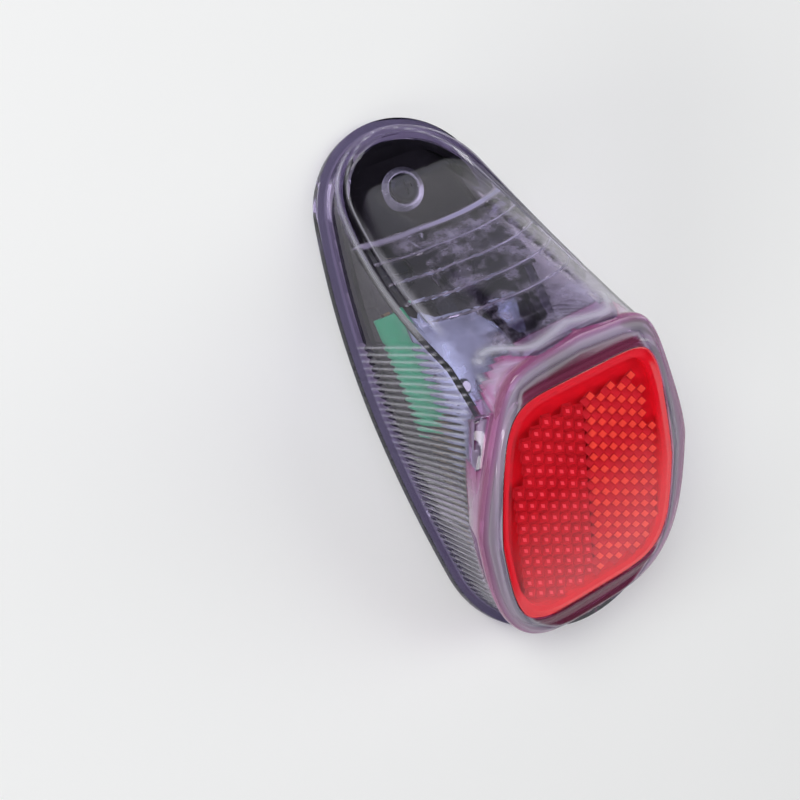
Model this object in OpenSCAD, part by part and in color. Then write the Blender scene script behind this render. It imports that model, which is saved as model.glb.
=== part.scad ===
// Rear light for a bicycle, to bolt on a curved sheet: clear cover with a red prism
// reflector, screw-base bulb, black carrier, rubber pad.
// Millimetres. +Z points away from the mounting surface, +Y to the narrow tip, +X across.
// The origin is at the middle of the underside.

/* [Cover] */
// Length of the cover's flange, heel to tip
cover_l = 100.7; // [96:0.1:106]
// Width of the cover's flange at its widest
cover_w = 44.2; // [42.5:0.1:46]
// Radius of the narrow tip of the flange
tip_r = 18; // [17:0.5:19]
// Radius of the broad heel of the flange
heel_r = 20.5; // [20:0.1:21]
// Width of the flange outside the wall
flange_w = 1.7; // [1.4:0.1:2]
// Thickness of the flange
flange_t = 2.2; // [1.8:0.1:2.6]
// Thickness of the cover's wall
wall = 2; // [1.8:0.1:2.2]
// Width of the flat strip down the middle of the sloping window
strip_w = 16.4; // [14:0.2:18]
// Height of the window where it meets the bezel
window_z = 40.2; // [39:0.1:41]
// Width of the carrier's tongue that shows at the heel
lug_w = 10.4; // [9.6:0.2:11]

/* [Reflector face] */
// Angle between the reflector face and the mounting surface
face_tilt = 30; // [29:0.5:31]
// Height of the face's reference point over the mounting surface
face_z = 24; // [23.5:0.1:24.5]
// Width of the bezel round the reflector
bezel_w = 45.6; // [44.6:0.2:46]
// Length of the bezel along the face
bezel_l = 59.8; // [59.2:0.2:60]
// Depth of the bezel's flared side band
bezel_t = 6; // [5.5:0.5:6.5]
// Width of the red reflector
reflector_w = 37.4; // [36.5:0.1:37.6]
// Length of the red reflector along the face
reflector_l = 47.6; // [46.5:0.1:48]
// Thickness of the bezel plate that holds the reflector
face_t = 3.2; // [3:0.1:3.4]

/* [Base] */
// Thickness of the rubber pad
pad_t = 0.8; // [0.8:0.1:0.9]
// Thickness of the steel base plate
plate_t = 0.8; // [0.8:0.1:0.9]
// Thickness of the carrier's floor
floor_t = 1.2; // [1.1:0.1:1.2]
// Height of the carrier's rim over the mounting surface
rim_z = 4.4; // [3.8:0.1:4.5]
// Distance between the two mounting holes
mount_spacing = 65; // [64:0.5:66]
// Diameter of the mounting holes, for 4 mm screws
mount_d = 4.5; // [4.3:0.1:4.6]
// Diameter of the cable that the grommet takes
cable_d = 3.2; // [2.8:0.1:3.6]

/* [Bulb and screws] */
// Diameter of the bulb's glass
glass_d = 11; // [10:0.5:11.4]
// Diameter of the bulb's screw cap
cap_d = 9.4; // [9.2:0.1:9.5]
// Depth of the bulb's axis behind the reflector face
bulb_depth = 12; // [11.6:0.1:12.4]
// Diameter of the carrier's screw and of the terminal's
screw_d = 3; // [2.9:0.1:3]
// Diameter of the green sleeve
sleeve_d = 4.6; // [4:0.1:4.8]

/* [Hidden] */
$fn = 64;

// Clearances
fit = 0.1;
gap = 0.3;
// Tall enough to pass right through the lamp
tall = 60;

// Plan of the flange: a tip arc and a heel arc joined by two long arcs on each side
half_w = cover_w / 2;
tip_y = cover_l / 2;
heel_y = -cover_l / 2;
tip_cy = tip_y - tip_r;
heel_cy = heel_y + heel_r;
waist_y = heel_y + 48.3;
tip_side_r = side_radius(tip_r, tip_cy);
heel_side_r = side_radius(heel_r, heel_cy);
wall_in = flange_w + wall;
carrier_in = wall_in + 0.8;

// Reflector face: its reference point and the places along it
face_y = heel_y + 24.3;
bezel_u = 4;
bezel_ends = [[30.6, 0.32, 10, 0.0105], [bezel_l - 30.6, 0.1, 3.5, 0]];
bezel_flare = 1.5;
reflector_u = 1.5;
reflector_ends = [[26.1, 0.2, 7, 0], [reflector_l - 26.1, 0.1, 5, 0]];
reflector_seat = 2.4;
reflector_step = 1.6;
prism_t = 2;
shelf_u = bezel_u + bezel_ends[0][0];
shelf_corner_x = 15;
shelf_corner = 0.8;
bezel_edge = 1;

// Window over the tip: a strip that drops towards the tip, with flanks that fall away from it
strip_x = strip_w / 2;
window_y = face_y + 30;
window_slope = 0.839;
window_bend = 0.0036;
flank_y = face_y + 38;
flank_slope = 1.14;
flank_reach = 30;
apron_y = face_y + 64.3;
apron_z = 6.5;
apron_slope = 0.33;
window_skin = 1.35;
rib_first_y = face_y + 54.3;
rib_pitch = 4;
rib_count = 5;
rib_h = 0.7;

// Lean of the side walls: outwards near the heel, inwards near the tip
lean_low_y = face_y + 5;
lean_high_y = face_y + 32;
lean_low = -0.05;
lean_high = 0.115;
wall_top = 46;
wall_steps = 30;

// Heights over the mounting surface
plate_z = pad_t + plate_t;
floor_z = plate_z + floor_t;

// Carrier's screw near the tip, with its cup washer and threaded insert
tip_screw_y = face_y + 62.3;
washer_t = 0.5;
washer_r = 4.2;
head_r = 2.6;
head_t = 0.9;
insert_r = 2.4;
insert_z = floor_z - 0.1;
shank_end_z = pad_t + 0.1;

// Mounting holes
mount_hi_y = face_y + 48;
mount_lo_y = mount_hi_y - mount_spacing;
mount_ys = [mount_hi_y, mount_lo_y];
bush_wall = 1.1;

// Carrier's tongue over the flange at the heel, and the bar of the flange under its end
lug_r = 7;
lug_z = [2.5, 4.2];
lug_gap = 0.4;
hook_bar = [1.3, 1.6];

// Bulb, along the face, its cap towards the heel
cap_u = [-12.2, -3];
glass_top_u = 15.5;
tip_u = -13.6;
pocket_u = -15.2;
shell_r = cap_d / 2 + 0.25;
shell_wall = 0.45;
shell_low_u = cap_u[0] + 0.1;
holder_r = shell_r + shell_wall + 1.5;
holder_u = [-17.2, -3.6];
foot_y = [-33, -23];
peg_at = [4.5, -27];

// Live side: the lead's bends, chosen by hand
lead_w = 1.2;
sleeve_bore = 1.9;
lead_path = [[0, -36.2, 4.6], [-9.5, -35.9, 6.2], [-13.9, -25, 8.3], [-13.9, 18, 8.3], [-10.4, 22.4, 4.8]];
sleeve_y = [-4.5, 17];
block_at = [-10, 23.4];
block_size = [6.4, 6, 4.4];
clamp_w = 5.6;
clamp_t = 0.8;
terminal_head_r = 2.5;
terminal_head_t = 1.4;

// Hood over the terminal and the upper mounting hole, standing on the carrier's rim
hood_y = [17.6, 27.5];
hood_z = 9.6;
hood_t = 0.8;
hood_in = carrier_in + 0.7;

// Earth side
earth_t = 0.6;
earth_w = 4;
earth_end_y = -22.9;
earth_rivet_y = -21.2;
earth_tab_y = -19.45;
earth_tab_h = 4.4;

// Polished dish behind the bulb
dish_r = 20;
dish_t = 0.6;
dish_low_z = floor_z + earth_t + 0.2;
dish_axis_z = dish_low_z + dish_t + dish_r;
dish_x = 10.8;
dish_y = [-16.5, 15];
dish_rivet_turn = 12;
dish_rivet_y = -1;
dish_post_x = 4.3;
dish_post_r = 2;

grommet_at = [9.5, 24];
grommet_r = 3;

// Radius of the long side arc that touches the end arc of radius r centred at cy
function side_radius(r, cy) =
    (half_w * half_w + (cy - waist_y) * (cy - waist_y) - r * r) / (2 * (half_w - r));

// Height along Y where the side arc meets the end arc, for a plan drawn in by d
function touch_y(r, cy, big_r, d) = cy + (r - d) * (cy - waist_y) / (big_r - r);

// Half width of a circle of radius r at the distance t from its centre
function chord(r, t) = sqrt(max(r * r - t * t, 0));

// Half width of the plan at y, drawn in by d
function half_at(y, d) =
    y > touch_y(tip_r, tip_cy, tip_side_r, d) ? chord(tip_r - d, y - tip_cy) :
    y > waist_y ? chord(tip_side_r - d, y - waist_y) - tip_side_r + half_w :
    y < touch_y(heel_r, heel_cy, heel_side_r, d) ? chord(heel_r - d, y - heel_cy) :
    chord(heel_side_r - d, y - waist_y) - heel_side_r + half_w;

// Points of the plan drawn in by d, anticlockwise from the heel
function plan_points(d) = [
    for (side = [1, -1])
        for (i = [0 : wall_steps - 1])
            let (a = side * (-90 + 180 * i / wall_steps),
                 y = (cover_l / 2 - d) * sin(a))
            [side * half_at(y, d), y]];

// How much of its width the wall loses for each millimetre of height, at y
function lean(y) =
    lean_low + (lean_high - lean_low) * min(max((y - lean_low_y) / (lean_high_y - lean_low_y), 0), 1);

// Height of the window's middle strip, of the apron at the tip, and the fall of its flanks
function strip_z(y) = window_z - window_slope * (y - window_y) - window_bend * pow(y - window_y, 2);
function apron(y) = apron_z - apron_slope * (y - apron_y);
function flank(y) = flank_slope * (1 - pow(min(max((y - flank_y) / flank_reach, 0), 1), 2));

// Height of the window at (x, y), its skin thinned by d
function window_at(x, y, d) =
    max(strip_z(y) - flank(y) * max(abs(x) - strip_x, 0) - d * window_skin, apron(y) - d);

// Points of a rounded outline that is widest at y = 0, half width a, drawn in by d. Each end,
// the upper one first, is [reach, taper, squareness of the corners, arch of the end].
function barrel_points(a, ends, d, steps = 11) = [
    for (i = [0 : 4 * steps - 1])
        let (quarter = floor(i / steps),
             part = i / steps - quarter,
             t = 1 - pow(1 - (quarter % 2 == 0 ? part : 1 - part), 2),
             end = ends[quarter < 2 ? 0 : 1],
             side = quarter == 0 || quarter == 3 ? 1 : -1,
             x = side * (a - d) * (1 - end[1] * pow(t, 1.3)) * pow(1 - pow(t, end[2]), 1 / end[2]))
        [x, (quarter < 2 ? 1 : -1) * ((end[0] - d) * t - end[3] * x * x)]];

// Place of the shelf's edge along the face at x, drawn in by d
function shelf_at(x, d) =
    shelf_u - d - bezel_ends[0][3] * x * x - shelf_corner * pow(max(abs(x) - shelf_corner_x, 0), 2);

// Puts what is drawn flat onto the reflector face: x across, y up the face, z out of it
module on_face() {
    translate([0, face_y, face_z]) rotate([face_tilt, 0, 0]) children();
}

// Puts what stands up onto the bulb's axis: its z is the distance up the face
module on_bulb() {
    on_face() translate([0, 0, -bulb_depth]) rotate([-90, 0, 0]) children();
}

// Flat shape of the flange's outline drawn in by d, made of true arcs
module plan(d) {
    translate([0, tip_cy]) circle(tip_r - d, $fn = 96);
    translate([0, heel_cy]) circle(heel_r - d, $fn = 96);
    plan_side(d, tip_side_r, touch_y(tip_r, tip_cy, tip_side_r, d));
    plan_side(d, heel_side_r, touch_y(heel_r, heel_cy, heel_side_r, d));
}

module plan_side(d, r, end_y) {
    intersection() {
        translate([half_w - r, waist_y]) circle(r - d, $fn = 360);
        translate([r - half_w, waist_y]) circle(r - d, $fn = 360);
        translate([-half_w, min(waist_y, end_y)]) square([2 * half_w, abs(end_y - waist_y)]);
    }
}

// Solid bounded by the leaning side walls, drawn in by d, from the height z0
module wall_solid(d, z0) {
    low = plan_points(d);
    n = len(low);
    polyhedron(
        points = concat(
            [for (p = low) [p.x, p.y, z0]],
            [for (p = low) [p.x * (1 - lean(p.y) * (wall_top - z0) / half_w), p.y, wall_top]]),
        faces = concat(
            [[for (i = [0 : n - 1]) i]],
            [[for (i = [n - 1 : -1 : 0]) n + i]],
            [for (i = [0 : n - 1]) [i, n + i, n + (i + 1) % n]],
            [for (i = [0 : n - 1]) [i, n + (i + 1) % n, (i + 1) % n]]));
}

// Solid under the sloping window, its skin thinned by d
module window_solid(d) {
    far = half_w + 4;
    ys = [for (t = [-14, -2, 6, 11, 16, 20, 24, 28, 31, 34, 36.5, 39, 42, 48]) window_y - 4.8 + t];
    xs = [-far, -15, -strip_x, strip_x, 15, far];
    rows = [for (y = ys) concat([for (x = xs) [x, y, window_at(x, y, d)]], [[far, y, -2], [-far, y, -2]])];
    m = len(xs) + 2;
    k = len(ys);
    polyhedron(
        points = [for (row = rows) for (p = row) p],
        faces = concat(
            [[for (j = [0 : m - 1]) j]],
            [[for (j = [m - 1 : -1 : 0]) (k - 1) * m + j]],
            [for (i = [0 : k - 2]) for (j = [0 : m - 1])
                [i * m + j, (i + 1) * m + j, (i + 1) * m + (j + 1) % m]],
            [for (i = [0 : k - 2]) for (j = [0 : m - 1])
                [i * m + j, (i + 1) * m + (j + 1) % m, i * m + (j + 1) % m]]));
}

// Body of the cover under the window, the shelf and the face: drawn in by d there, by plan_d at
// the walls and by face_d at the face, from the height z0
module cover_body(d, plan_d, face_d, z0) {
    intersection() {
        wall_solid(plan_d, z0);
        union() {
            window_solid(d);
            on_face() translate([0, 0, -tall]) linear_extrude(tall + 5) shelf_outline(d);
        }
        on_face() translate([-half_w - 5, -tall, -tall])
            cube([cover_w + 10, 2 * tall, tall - face_d]);
    }
}

// All of the face below the shelf's edge, drawn in by d
module shelf_outline(d) {
    far = half_w + 6;
    corner = shelf_corner_x + 3;
    xs = [-corner, -17, -16, -15, -12, -8, -4, 0, 4, 8, 12, 15, 16, 17, corner];
    polygon(concat([[-corner, -tall], [-far, -tall], [-far, shelf_at(corner, d)]],
                   [for (x = xs) [x, shelf_at(x, d)]],
                   [[far, shelf_at(corner, d)], [far, -tall]]));
}

module bezel_outline(d) {
    translate([0, bezel_u]) polygon(barrel_points(bezel_w / 2, bezel_ends, d));
}

module reflector_outline(d) {
    translate([0, reflector_u]) polygon(barrel_points(reflector_w / 2, reflector_ends, d));
}

// Bezel block: a band that flares towards a chamfered front edge
module bezel_block() {
    on_face() hull() {
        translate([0, 0, -bezel_t]) linear_extrude(fit) bezel_outline(bezel_flare);
        translate([0, 0, -bezel_edge - fit]) linear_extrude(fit) bezel_outline(0);
        translate([0, 0, -fit]) linear_extrude(fit) bezel_outline(bezel_edge);
    }
}

// Cross ribs under the window: upright steps, each across the strip and its flanks
module window_ribs() {
    reach = 13;
    for (i = [0 : rib_count - 1]) {
        y = rib_first_y - i * rib_pitch;
        under = [for (x = [-reach, -strip_x, strip_x, reach]) [x, window_at(x, y, wall) - rib_h]];
        over = [for (x = [reach, strip_x, -strip_x, -reach]) [x, window_at(x, y, wall / 2)]];
        translate([0, y, 0]) rotate([90, 0, 0]) linear_extrude(rib_h) polygon(concat(under, over));
    }
}

// Slot round the carrier's tongue, with a bar of the flange left under its outer end
module lug_slot() {
    w = lug_w + 2 * lug_gap;
    top = lug_z[1] + lug_gap;
    translate([-w / 2, heel_y - 5, hook_bar[1]]) cube([w, 5 + wall_in + 1, top - hook_bar[1]]);
    translate([-w / 2, heel_y + hook_bar[0], -1]) cube([w, wall_in + 1 - hook_bar[0], top + 1]);
}

module cover() {
    color([0.87, 0.85, 0.93, 0.4]) difference() {
        union() {
            difference() {
                union() {
                    linear_extrude(flange_t) plan(0);
                    cover_body(0, flange_w, bezel_edge / 2, 0.5);
                    bezel_block();
                }
                cover_body(wall, wall_in, face_t, -1);
            }
            window_ribs();
        }
        // seat of the reflector, and the smaller opening behind its ledge
        on_face() translate([0, 0, -reflector_seat - fit]) linear_extrude(tall) reflector_outline(-fit);
        on_face() translate([0, 0, -bezel_t - 3]) linear_extrude(tall) reflector_outline(reflector_step);
        lug_slot();
    }
}

module reflector() {
    color([0.82, 0.04, 0.05]) on_face() {
        translate([0, 0, -reflector_seat]) linear_extrude(reflector_seat + 0.2) reflector_outline(0);
        translate([0, 0, 0.2]) linear_extrude(0.4) reflector_outline(1.2);
        translate([0, 0, -reflector_seat - prism_t]) linear_extrude(prism_t)
            reflector_outline(reflector_step + 0.3);
    }
}

module cup_washer() {
    color([0.8, 0.8, 0.82]) translate([0, tip_screw_y, floor_z]) difference() {
        cylinder(r1 = washer_r, r2 = head_r + 0.3, h = washer_t);
        translate([0, 0, -1]) cylinder(r = screw_d / 2 + 0.2, h = 5);
    }
}

// Pan head with a cross recess
module carrier_screw() {
    head_z = floor_z + washer_t;
    color([0.78, 0.78, 0.8]) translate([0, tip_screw_y, 0]) difference() {
        union() {
            translate([0, 0, head_z]) cylinder(r = head_r, h = head_t * 0.6);
            translate([0, 0, head_z + head_t * 0.6])
                cylinder(r1 = head_r, r2 = head_r * 0.8, h = head_t * 0.4);
            translate([0, 0, shank_end_z]) cylinder(d = screw_d, h = head_z - shank_end_z + fit);
        }
        for (a = [0, 90]) translate([0, 0, head_z + head_t]) rotate(a) cube([2.8, 0.6, 1.2], center = true);
    }
}

module base_pad() {
    color([0.1, 0.1, 0.1]) difference() {
        linear_extrude(pad_t) plan(carrier_in + 0.3);
        floor_holes();
    }
}

// Holes that go through the pad, the plate and the carrier alike
module floor_holes() {
    for (y = mount_ys) translate([0, y, -1]) cylinder(r = mount_d / 2 + bush_wall, h = 10);
    translate([grommet_at.x, grommet_at.y, -1]) cylinder(r = grommet_r, h = 10);
    translate([0, tip_screw_y, -1]) cylinder(r = insert_r, h = 10);
}

module base_plate() {
    color([0.62, 0.63, 0.65]) difference() {
        translate([0, 0, pad_t]) linear_extrude(plate_t) plan(carrier_in + 0.6);
        floor_holes();
        for (s = [-1, 1]) translate([s * peg_at.x, peg_at.y, 0]) cylinder(r = 1.6, h = 10);
    }
}

module carrier() {
    color([0.06, 0.06, 0.07]) difference() {
        union() {
            translate([0, 0, plate_z]) linear_extrude(floor_t) plan(carrier_in);
            translate([0, 0, plate_z]) linear_extrude(rim_z - plate_z) difference() {
                plan(carrier_in);
                plan(carrier_in + 1.6);
            }
            for (s = [-1, 1]) translate([s * dish_post_x, dish_rivet_y, plate_z])
                cylinder(r = dish_post_r, h = dish_under(dish_post_x - dish_post_r) - plate_z);
            carrier_tongue();
        }
        // slope under the cover's apron
        translate([-tall / 2, apron_y, apron_z - wall - gap]) rotate([-atan(apron_slope), 0, 0])
            cube([tall, tall, 10]);
        floor_holes();
        for (s = [-1, 1]) translate([s * peg_at.x, peg_at.y, 0]) cylinder(r = 1.25, h = tall);
        translate([0, earth_rivet_y, 0]) cylinder(r = 1, h = tall);
        dish_rivet_shanks();
    }
}

// Half-round tongue that passes through the cover's slot and lies over its flange
module carrier_tongue() {
    back = carrier_in + 2;
    translate([0, 0, lug_z[0]]) linear_extrude(lug_z[1] - lug_z[0]) intersection() {
        translate([0, heel_y + lug_r]) circle(lug_r);
        translate([-lug_w / 2, heel_y - 1]) square([lug_w, back + 1]);
    }
}

module screw_insert() {
    color([0.78, 0.62, 0.3]) translate([0, tip_screw_y, pad_t]) difference() {
        cylinder(r = insert_r, h = insert_z - pad_t);
        translate([0, 0, -1]) cylinder(r = screw_d / 2 + 0.08, h = 10);
    }
}

module mount_bushes() {
    color([0.7, 0.7, 0.72]) for (y = mount_ys) translate([0, y, 0]) difference() {
        cylinder(r = mount_d / 2 + bush_wall, h = floor_z);
        translate([0, 0, -1]) cylinder(d = mount_d, h = 10);
    }
}

module cable_grommet() {
    color([0.09, 0.09, 0.09]) translate([grommet_at.x, grommet_at.y, 0]) difference() {
        union() {
            cylinder(r = grommet_r, h = floor_z + 0.1);
            translate([0, 0, floor_z]) cylinder(r = grommet_r + 1.3, h = 1.2);
        }
        translate([0, 0, -1]) cylinder(d = cable_d, h = 10);
    }
}

// Moulded holder: a round barrel on a foot, cut flat where it stands on the carrier's floor
module holder_body() {
    color([0.16, 0.1, 0.07]) difference() {
        union() {
            on_bulb() translate([0, 0, holder_u[0]]) cylinder(r = holder_r, h = holder_u[1] - holder_u[0]);
            translate([-holder_r, foot_y[0], floor_z]) cube([2 * holder_r, foot_y[1] - foot_y[0], 5]);
        }
        on_bulb() translate([0, 0, cap_u[0] - 0.6]) cylinder(r = shell_r + shell_wall, h = tall);
        on_bulb() translate([0, 0, pocket_u]) cylinder(r = 3.6, h = tall);
        on_bulb() translate([0, 0, -tall]) cylinder(r = 1, h = tall);
        translate([-tall, -tall, floor_z - tall]) cube([2 * tall, 2 * tall, tall]);
    }
    // pegs through the carrier's floor
    color([0.16, 0.1, 0.07]) for (s = [-1, 1]) translate([s * peg_at.x, peg_at.y, plate_z])
        cylinder(r = 1.2, h = floor_t + 1);
}

module holder_shell() {
    color([0.8, 0.66, 0.36]) on_bulb() difference() {
        union() {
            translate([0, 0, shell_low_u]) cylinder(r = shell_r + shell_wall, h = holder_u[1] - shell_low_u);
            translate([0, 0, holder_u[1]]) cylinder(r = holder_r - 0.5, h = 0.5);
        }
        translate([0, 0, -30]) cylinder(r = shell_r, h = tall);
    }
}

// Springy dished disc under the bulb's tip
module centre_contact() {
    color([0.74, 0.56, 0.28]) on_bulb() {
        translate([0, 0, tip_u - 0.7]) cylinder(r = 3.5, h = 0.3);
        translate([0, 0, tip_u - 0.4]) cylinder(r1 = 2.6, r2 = 1.2, h = 0.4);
    }
}

module contact_rivet() {
    color([0.75, 0.6, 0.3]) on_bulb() {
        translate([0, 0, holder_u[0]]) cylinder(r = 1, h = pocket_u - holder_u[0]);
        translate([0, 0, holder_u[0] - 0.5]) cylinder(r = 1.6, h = 0.5);
    }
}

module bulb_cap() {
    r = cap_d / 2;
    color([0.8, 0.68, 0.4]) on_bulb() difference() {
        union() {
            translate([0, 0, cap_u[0]]) cylinder(r = r - 0.35, h = cap_u[1] - cap_u[0]);
            for (i = [0 : 3]) translate([0, 0, cap_u[0] + 1 + 1.8 * i]) rotate_extrude()
                polygon([[r - 0.6, -0.6], [r, 0], [r - 0.6, 0.6]]);
            translate([0, 0, cap_u[1] - 0.7]) cylinder(r = r, h = 0.7);
        }
        translate([0, 0, cap_u[0] + 0.5]) cylinder(r = r - 0.75, h = tall);
        translate([0, 0, cap_u[0] - 1]) cylinder(r = 2, h = 5);
    }
}

module bulb_insulator() {
    color([0.08, 0.08, 0.09]) on_bulb() {
        translate([0, 0, cap_u[0]]) cylinder(r = 2, h = 0.5);
        translate([0, 0, cap_u[0] - 0.7]) cylinder(r1 = 2, r2 = 3.4, h = 0.7);
    }
}

module bulb_tip() {
    color([0.75, 0.75, 0.76]) on_bulb() translate([0, 0, tip_u + 0.1]) cylinder(r1 = 0.9, r2 = 1.4, h = 0.6);
}

// Profile of the glass: neck, swelling and domed end, by radius at each height
module glass_profile(d) {
    r = glass_d / 2;
    dome_u = glass_top_u - r;
    neck_u = cap_u[1] - 2.2;
    intersection() {
        union() {
            translate([0, dome_u]) circle(r - d);
            polygon([[0, neck_u], [3.8 - d, neck_u], [3.8 - d, neck_u + 3.4], [r - d, neck_u + 8],
                     [r - d, dome_u], [0, dome_u]]);
        }
        translate([0, neck_u]) square([r, tall]);
    }
}

module bulb_glass() {
    color([0.9, 0.93, 0.95, 0.4]) on_bulb() rotate_extrude() difference() {
        glass_profile(0);
        translate([0, 0.6]) glass_profile(0.5);
    }
}

module bulb_stem() {
    color([0.85, 0.9, 0.9, 0.6]) on_bulb() {
        translate([0, 0, cap_u[1] - 1.5]) cylinder(r = 1.6, h = 3);
        translate([0, 0, cap_u[1] + 1.5]) sphere(r = 1.6);
    }
}

// Two support wires and the coil between them
module bulb_filament() {
    color([0.55, 0.55, 0.58]) on_bulb() {
        for (s = [-1, 1]) translate([s * 2, 0, cap_u[1] + 1.4]) cylinder(r = 0.22, h = 8);
        for (s = [-1, 1]) translate([s * 0.9, 0, cap_u[1] + 1.6]) rotate([0, 90, 0])
            cylinder(r = 0.22, h = 2.2, center = true);
        translate([0, 0, cap_u[1] + 9.2]) rotate([0, 90, 0]) cylinder(r = 0.35, h = 4.2, center = true);
    }
}

// Height of the dish's underside at x
function dish_under(x) = dish_axis_z - sqrt(pow(dish_r + dish_t, 2) - x * x);

module light_dish() {
    color([0.82, 0.84, 0.88]) difference() {
        intersection() {
            translate([0, dish_y[0], dish_axis_z]) rotate([-90, 0, 0]) difference() {
                cylinder(r = dish_r + dish_t, h = dish_y[1] - dish_y[0], $fn = 120);
                translate([0, 0, -1]) cylinder(r = dish_r, h = tall, $fn = 120);
            }
            translate([-dish_x, -tall / 2, 0]) cube([2 * dish_x, tall, 12]);
        }
        dish_rivet_shanks();
    }
}

// Shanks of the dish's rivets, square to the dish
module dish_rivet_shanks() {
    for (s = [-1, 1]) translate([0, dish_rivet_y, dish_axis_z]) rotate([0, s * dish_rivet_turn, 0])
        translate([0, 0, -dish_r - 2]) cylinder(r = 0.9, h = 2);
}

module dish_rivets() {
    color([0.75, 0.75, 0.77]) {
        dish_rivet_shanks();
        for (s = [-1, 1]) translate([0, dish_rivet_y, dish_axis_z]) rotate([0, s * dish_rivet_turn, 0])
            translate([0, 0, 0.08 - dish_r]) cylinder(r1 = 1.6, r2 = 1, h = 0.6);
    }
}

// Flat strip from the upper mounting hole to the holder, turned up against the shell's flange
module earth_strip() {
    color([0.8, 0.64, 0.34]) {
        difference() {
            union() {
                translate([0, mount_hi_y, floor_z]) cylinder(r = 4.6, h = earth_t);
                translate([-earth_w / 2, earth_end_y, floor_z])
                    cube([earth_w, mount_hi_y - earth_end_y, earth_t]);
            }
            translate([0, mount_hi_y, 0]) cylinder(r = mount_d / 2 + bush_wall, h = tall);
            translate([0, earth_rivet_y, 0]) cylinder(r = 1, h = tall);
        }
        translate([-earth_w / 2, earth_tab_y, floor_z]) cube([earth_w, earth_t, earth_tab_h]);
    }
}

module earth_rivet() {
    color([0.75, 0.75, 0.77]) translate([0, earth_rivet_y, 0]) {
        translate([0, 0, plate_z]) cylinder(r = 1, h = floor_t + earth_t);
        translate([0, 0, floor_z + earth_t]) cylinder(r = 1.6, h = 0.5);
    }
}

// Square bar w across along the lead's bends
module lead_run(w) {
    for (i = [0 : len(lead_path) - 2]) {
        run = lead_path[i + 1] - lead_path[i];
        turn = atan2(run.y, run.x);
        dip = acos(run.z / norm(run));
        translate(lead_path[i]) rotate([0, dip, turn]) translate([-w / 2, -w / 2, -w / 2])
            cube([w, w, norm(run) + w]);
    }
}

module live_lead() {
    color([0.78, 0.6, 0.32]) lead_run(lead_w);
}

module lead_sleeve() {
    at = lead_path[2];
    color([0.0, 0.62, 0.36]) translate([at.x, sleeve_y[0], at.z]) rotate([-90, 0, 0]) difference() {
        cylinder(d = sleeve_d, h = sleeve_y[1] - sleeve_y[0]);
        translate([0, 0, -1]) cylinder(d = sleeve_bore, h = tall);
    }
}

module terminal_block() {
    color([0.8, 0.65, 0.35]) difference() {
        translate([block_at.x - block_size.x / 2, block_at.y - block_size.y / 2, floor_z]) cube(block_size);
        translate([block_at.x, block_at.y, floor_z + 2.6]) cylinder(r = screw_d / 2 + 0.05, h = tall);
        lead_run(lead_w + 0.1);
    }
}

module clamp_plate() {
    color([0.8, 0.8, 0.82]) difference() {
        translate([block_at.x - clamp_w / 2, block_at.y - clamp_w / 2, floor_z + block_size.z + 0.02])
            cube([clamp_w, clamp_w, clamp_t]);
        translate([block_at.x, block_at.y, 0]) cylinder(r = screw_d / 2 + 0.15, h = tall);
    }
}

// Slotted cheese head
module terminal_screw() {
    z = floor_z + block_size.z + 0.02 + clamp_t;
    color([0.8, 0.8, 0.82]) translate([block_at.x, block_at.y, 0]) difference() {
        union() {
            translate([0, 0, z]) cylinder(r = terminal_head_r, h = terminal_head_t);
            translate([0, 0, floor_z + 3]) cylinder(d = screw_d, h = z - floor_z - 3 + 0.1);
        }
        translate([0, 0, z + terminal_head_t]) cube([6, 0.7, 1.8], center = true);
    }
}

// Black hood: a deck with walls at its sides and towards the tip, and holes over both screws
module terminal_hood() {
    color([0.05, 0.05, 0.06]) difference() {
        union() {
            translate([0, 0, hood_z]) linear_extrude(hood_t) hood_plan(hood_in, hood_y[0]);
            translate([0, 0, rim_z]) linear_extrude(hood_z - rim_z) difference() {
                hood_plan(hood_in, hood_y[0] + 1.6);
                hood_plan(hood_in + hood_t, 0, hood_t);
            }
        }
        translate([block_at.x, block_at.y, 0]) cylinder(r = terminal_head_r + 0.4, h = tall);
        translate([0, mount_hi_y, 0]) cylinder(r = 4, h = tall);
    }
}

// Plan of the hood drawn in by d, from low_y to its tip side drawn in by end_in
module hood_plan(d, low_y, end_in = 0) {
    intersection() {
        plan(d);
        translate([-half_w, low_y]) square([2 * half_w, hood_y[1] - end_in - low_y]);
    }
}

cover();
reflector();
cup_washer();
carrier_screw();
base_pad();
base_plate();
carrier();
screw_insert();
mount_bushes();
cable_grommet();
holder_body();
holder_shell();
centre_contact();
contact_rivet();
bulb_cap();
bulb_insulator();
bulb_tip();
bulb_glass();
bulb_stem();
bulb_filament();
light_dish();
dish_rivets();
earth_strip();
earth_rivet();
live_lead();
lead_sleeve();
terminal_block();
clamp_plate();
terminal_screw();
terminal_hood();
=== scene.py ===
import math

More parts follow.
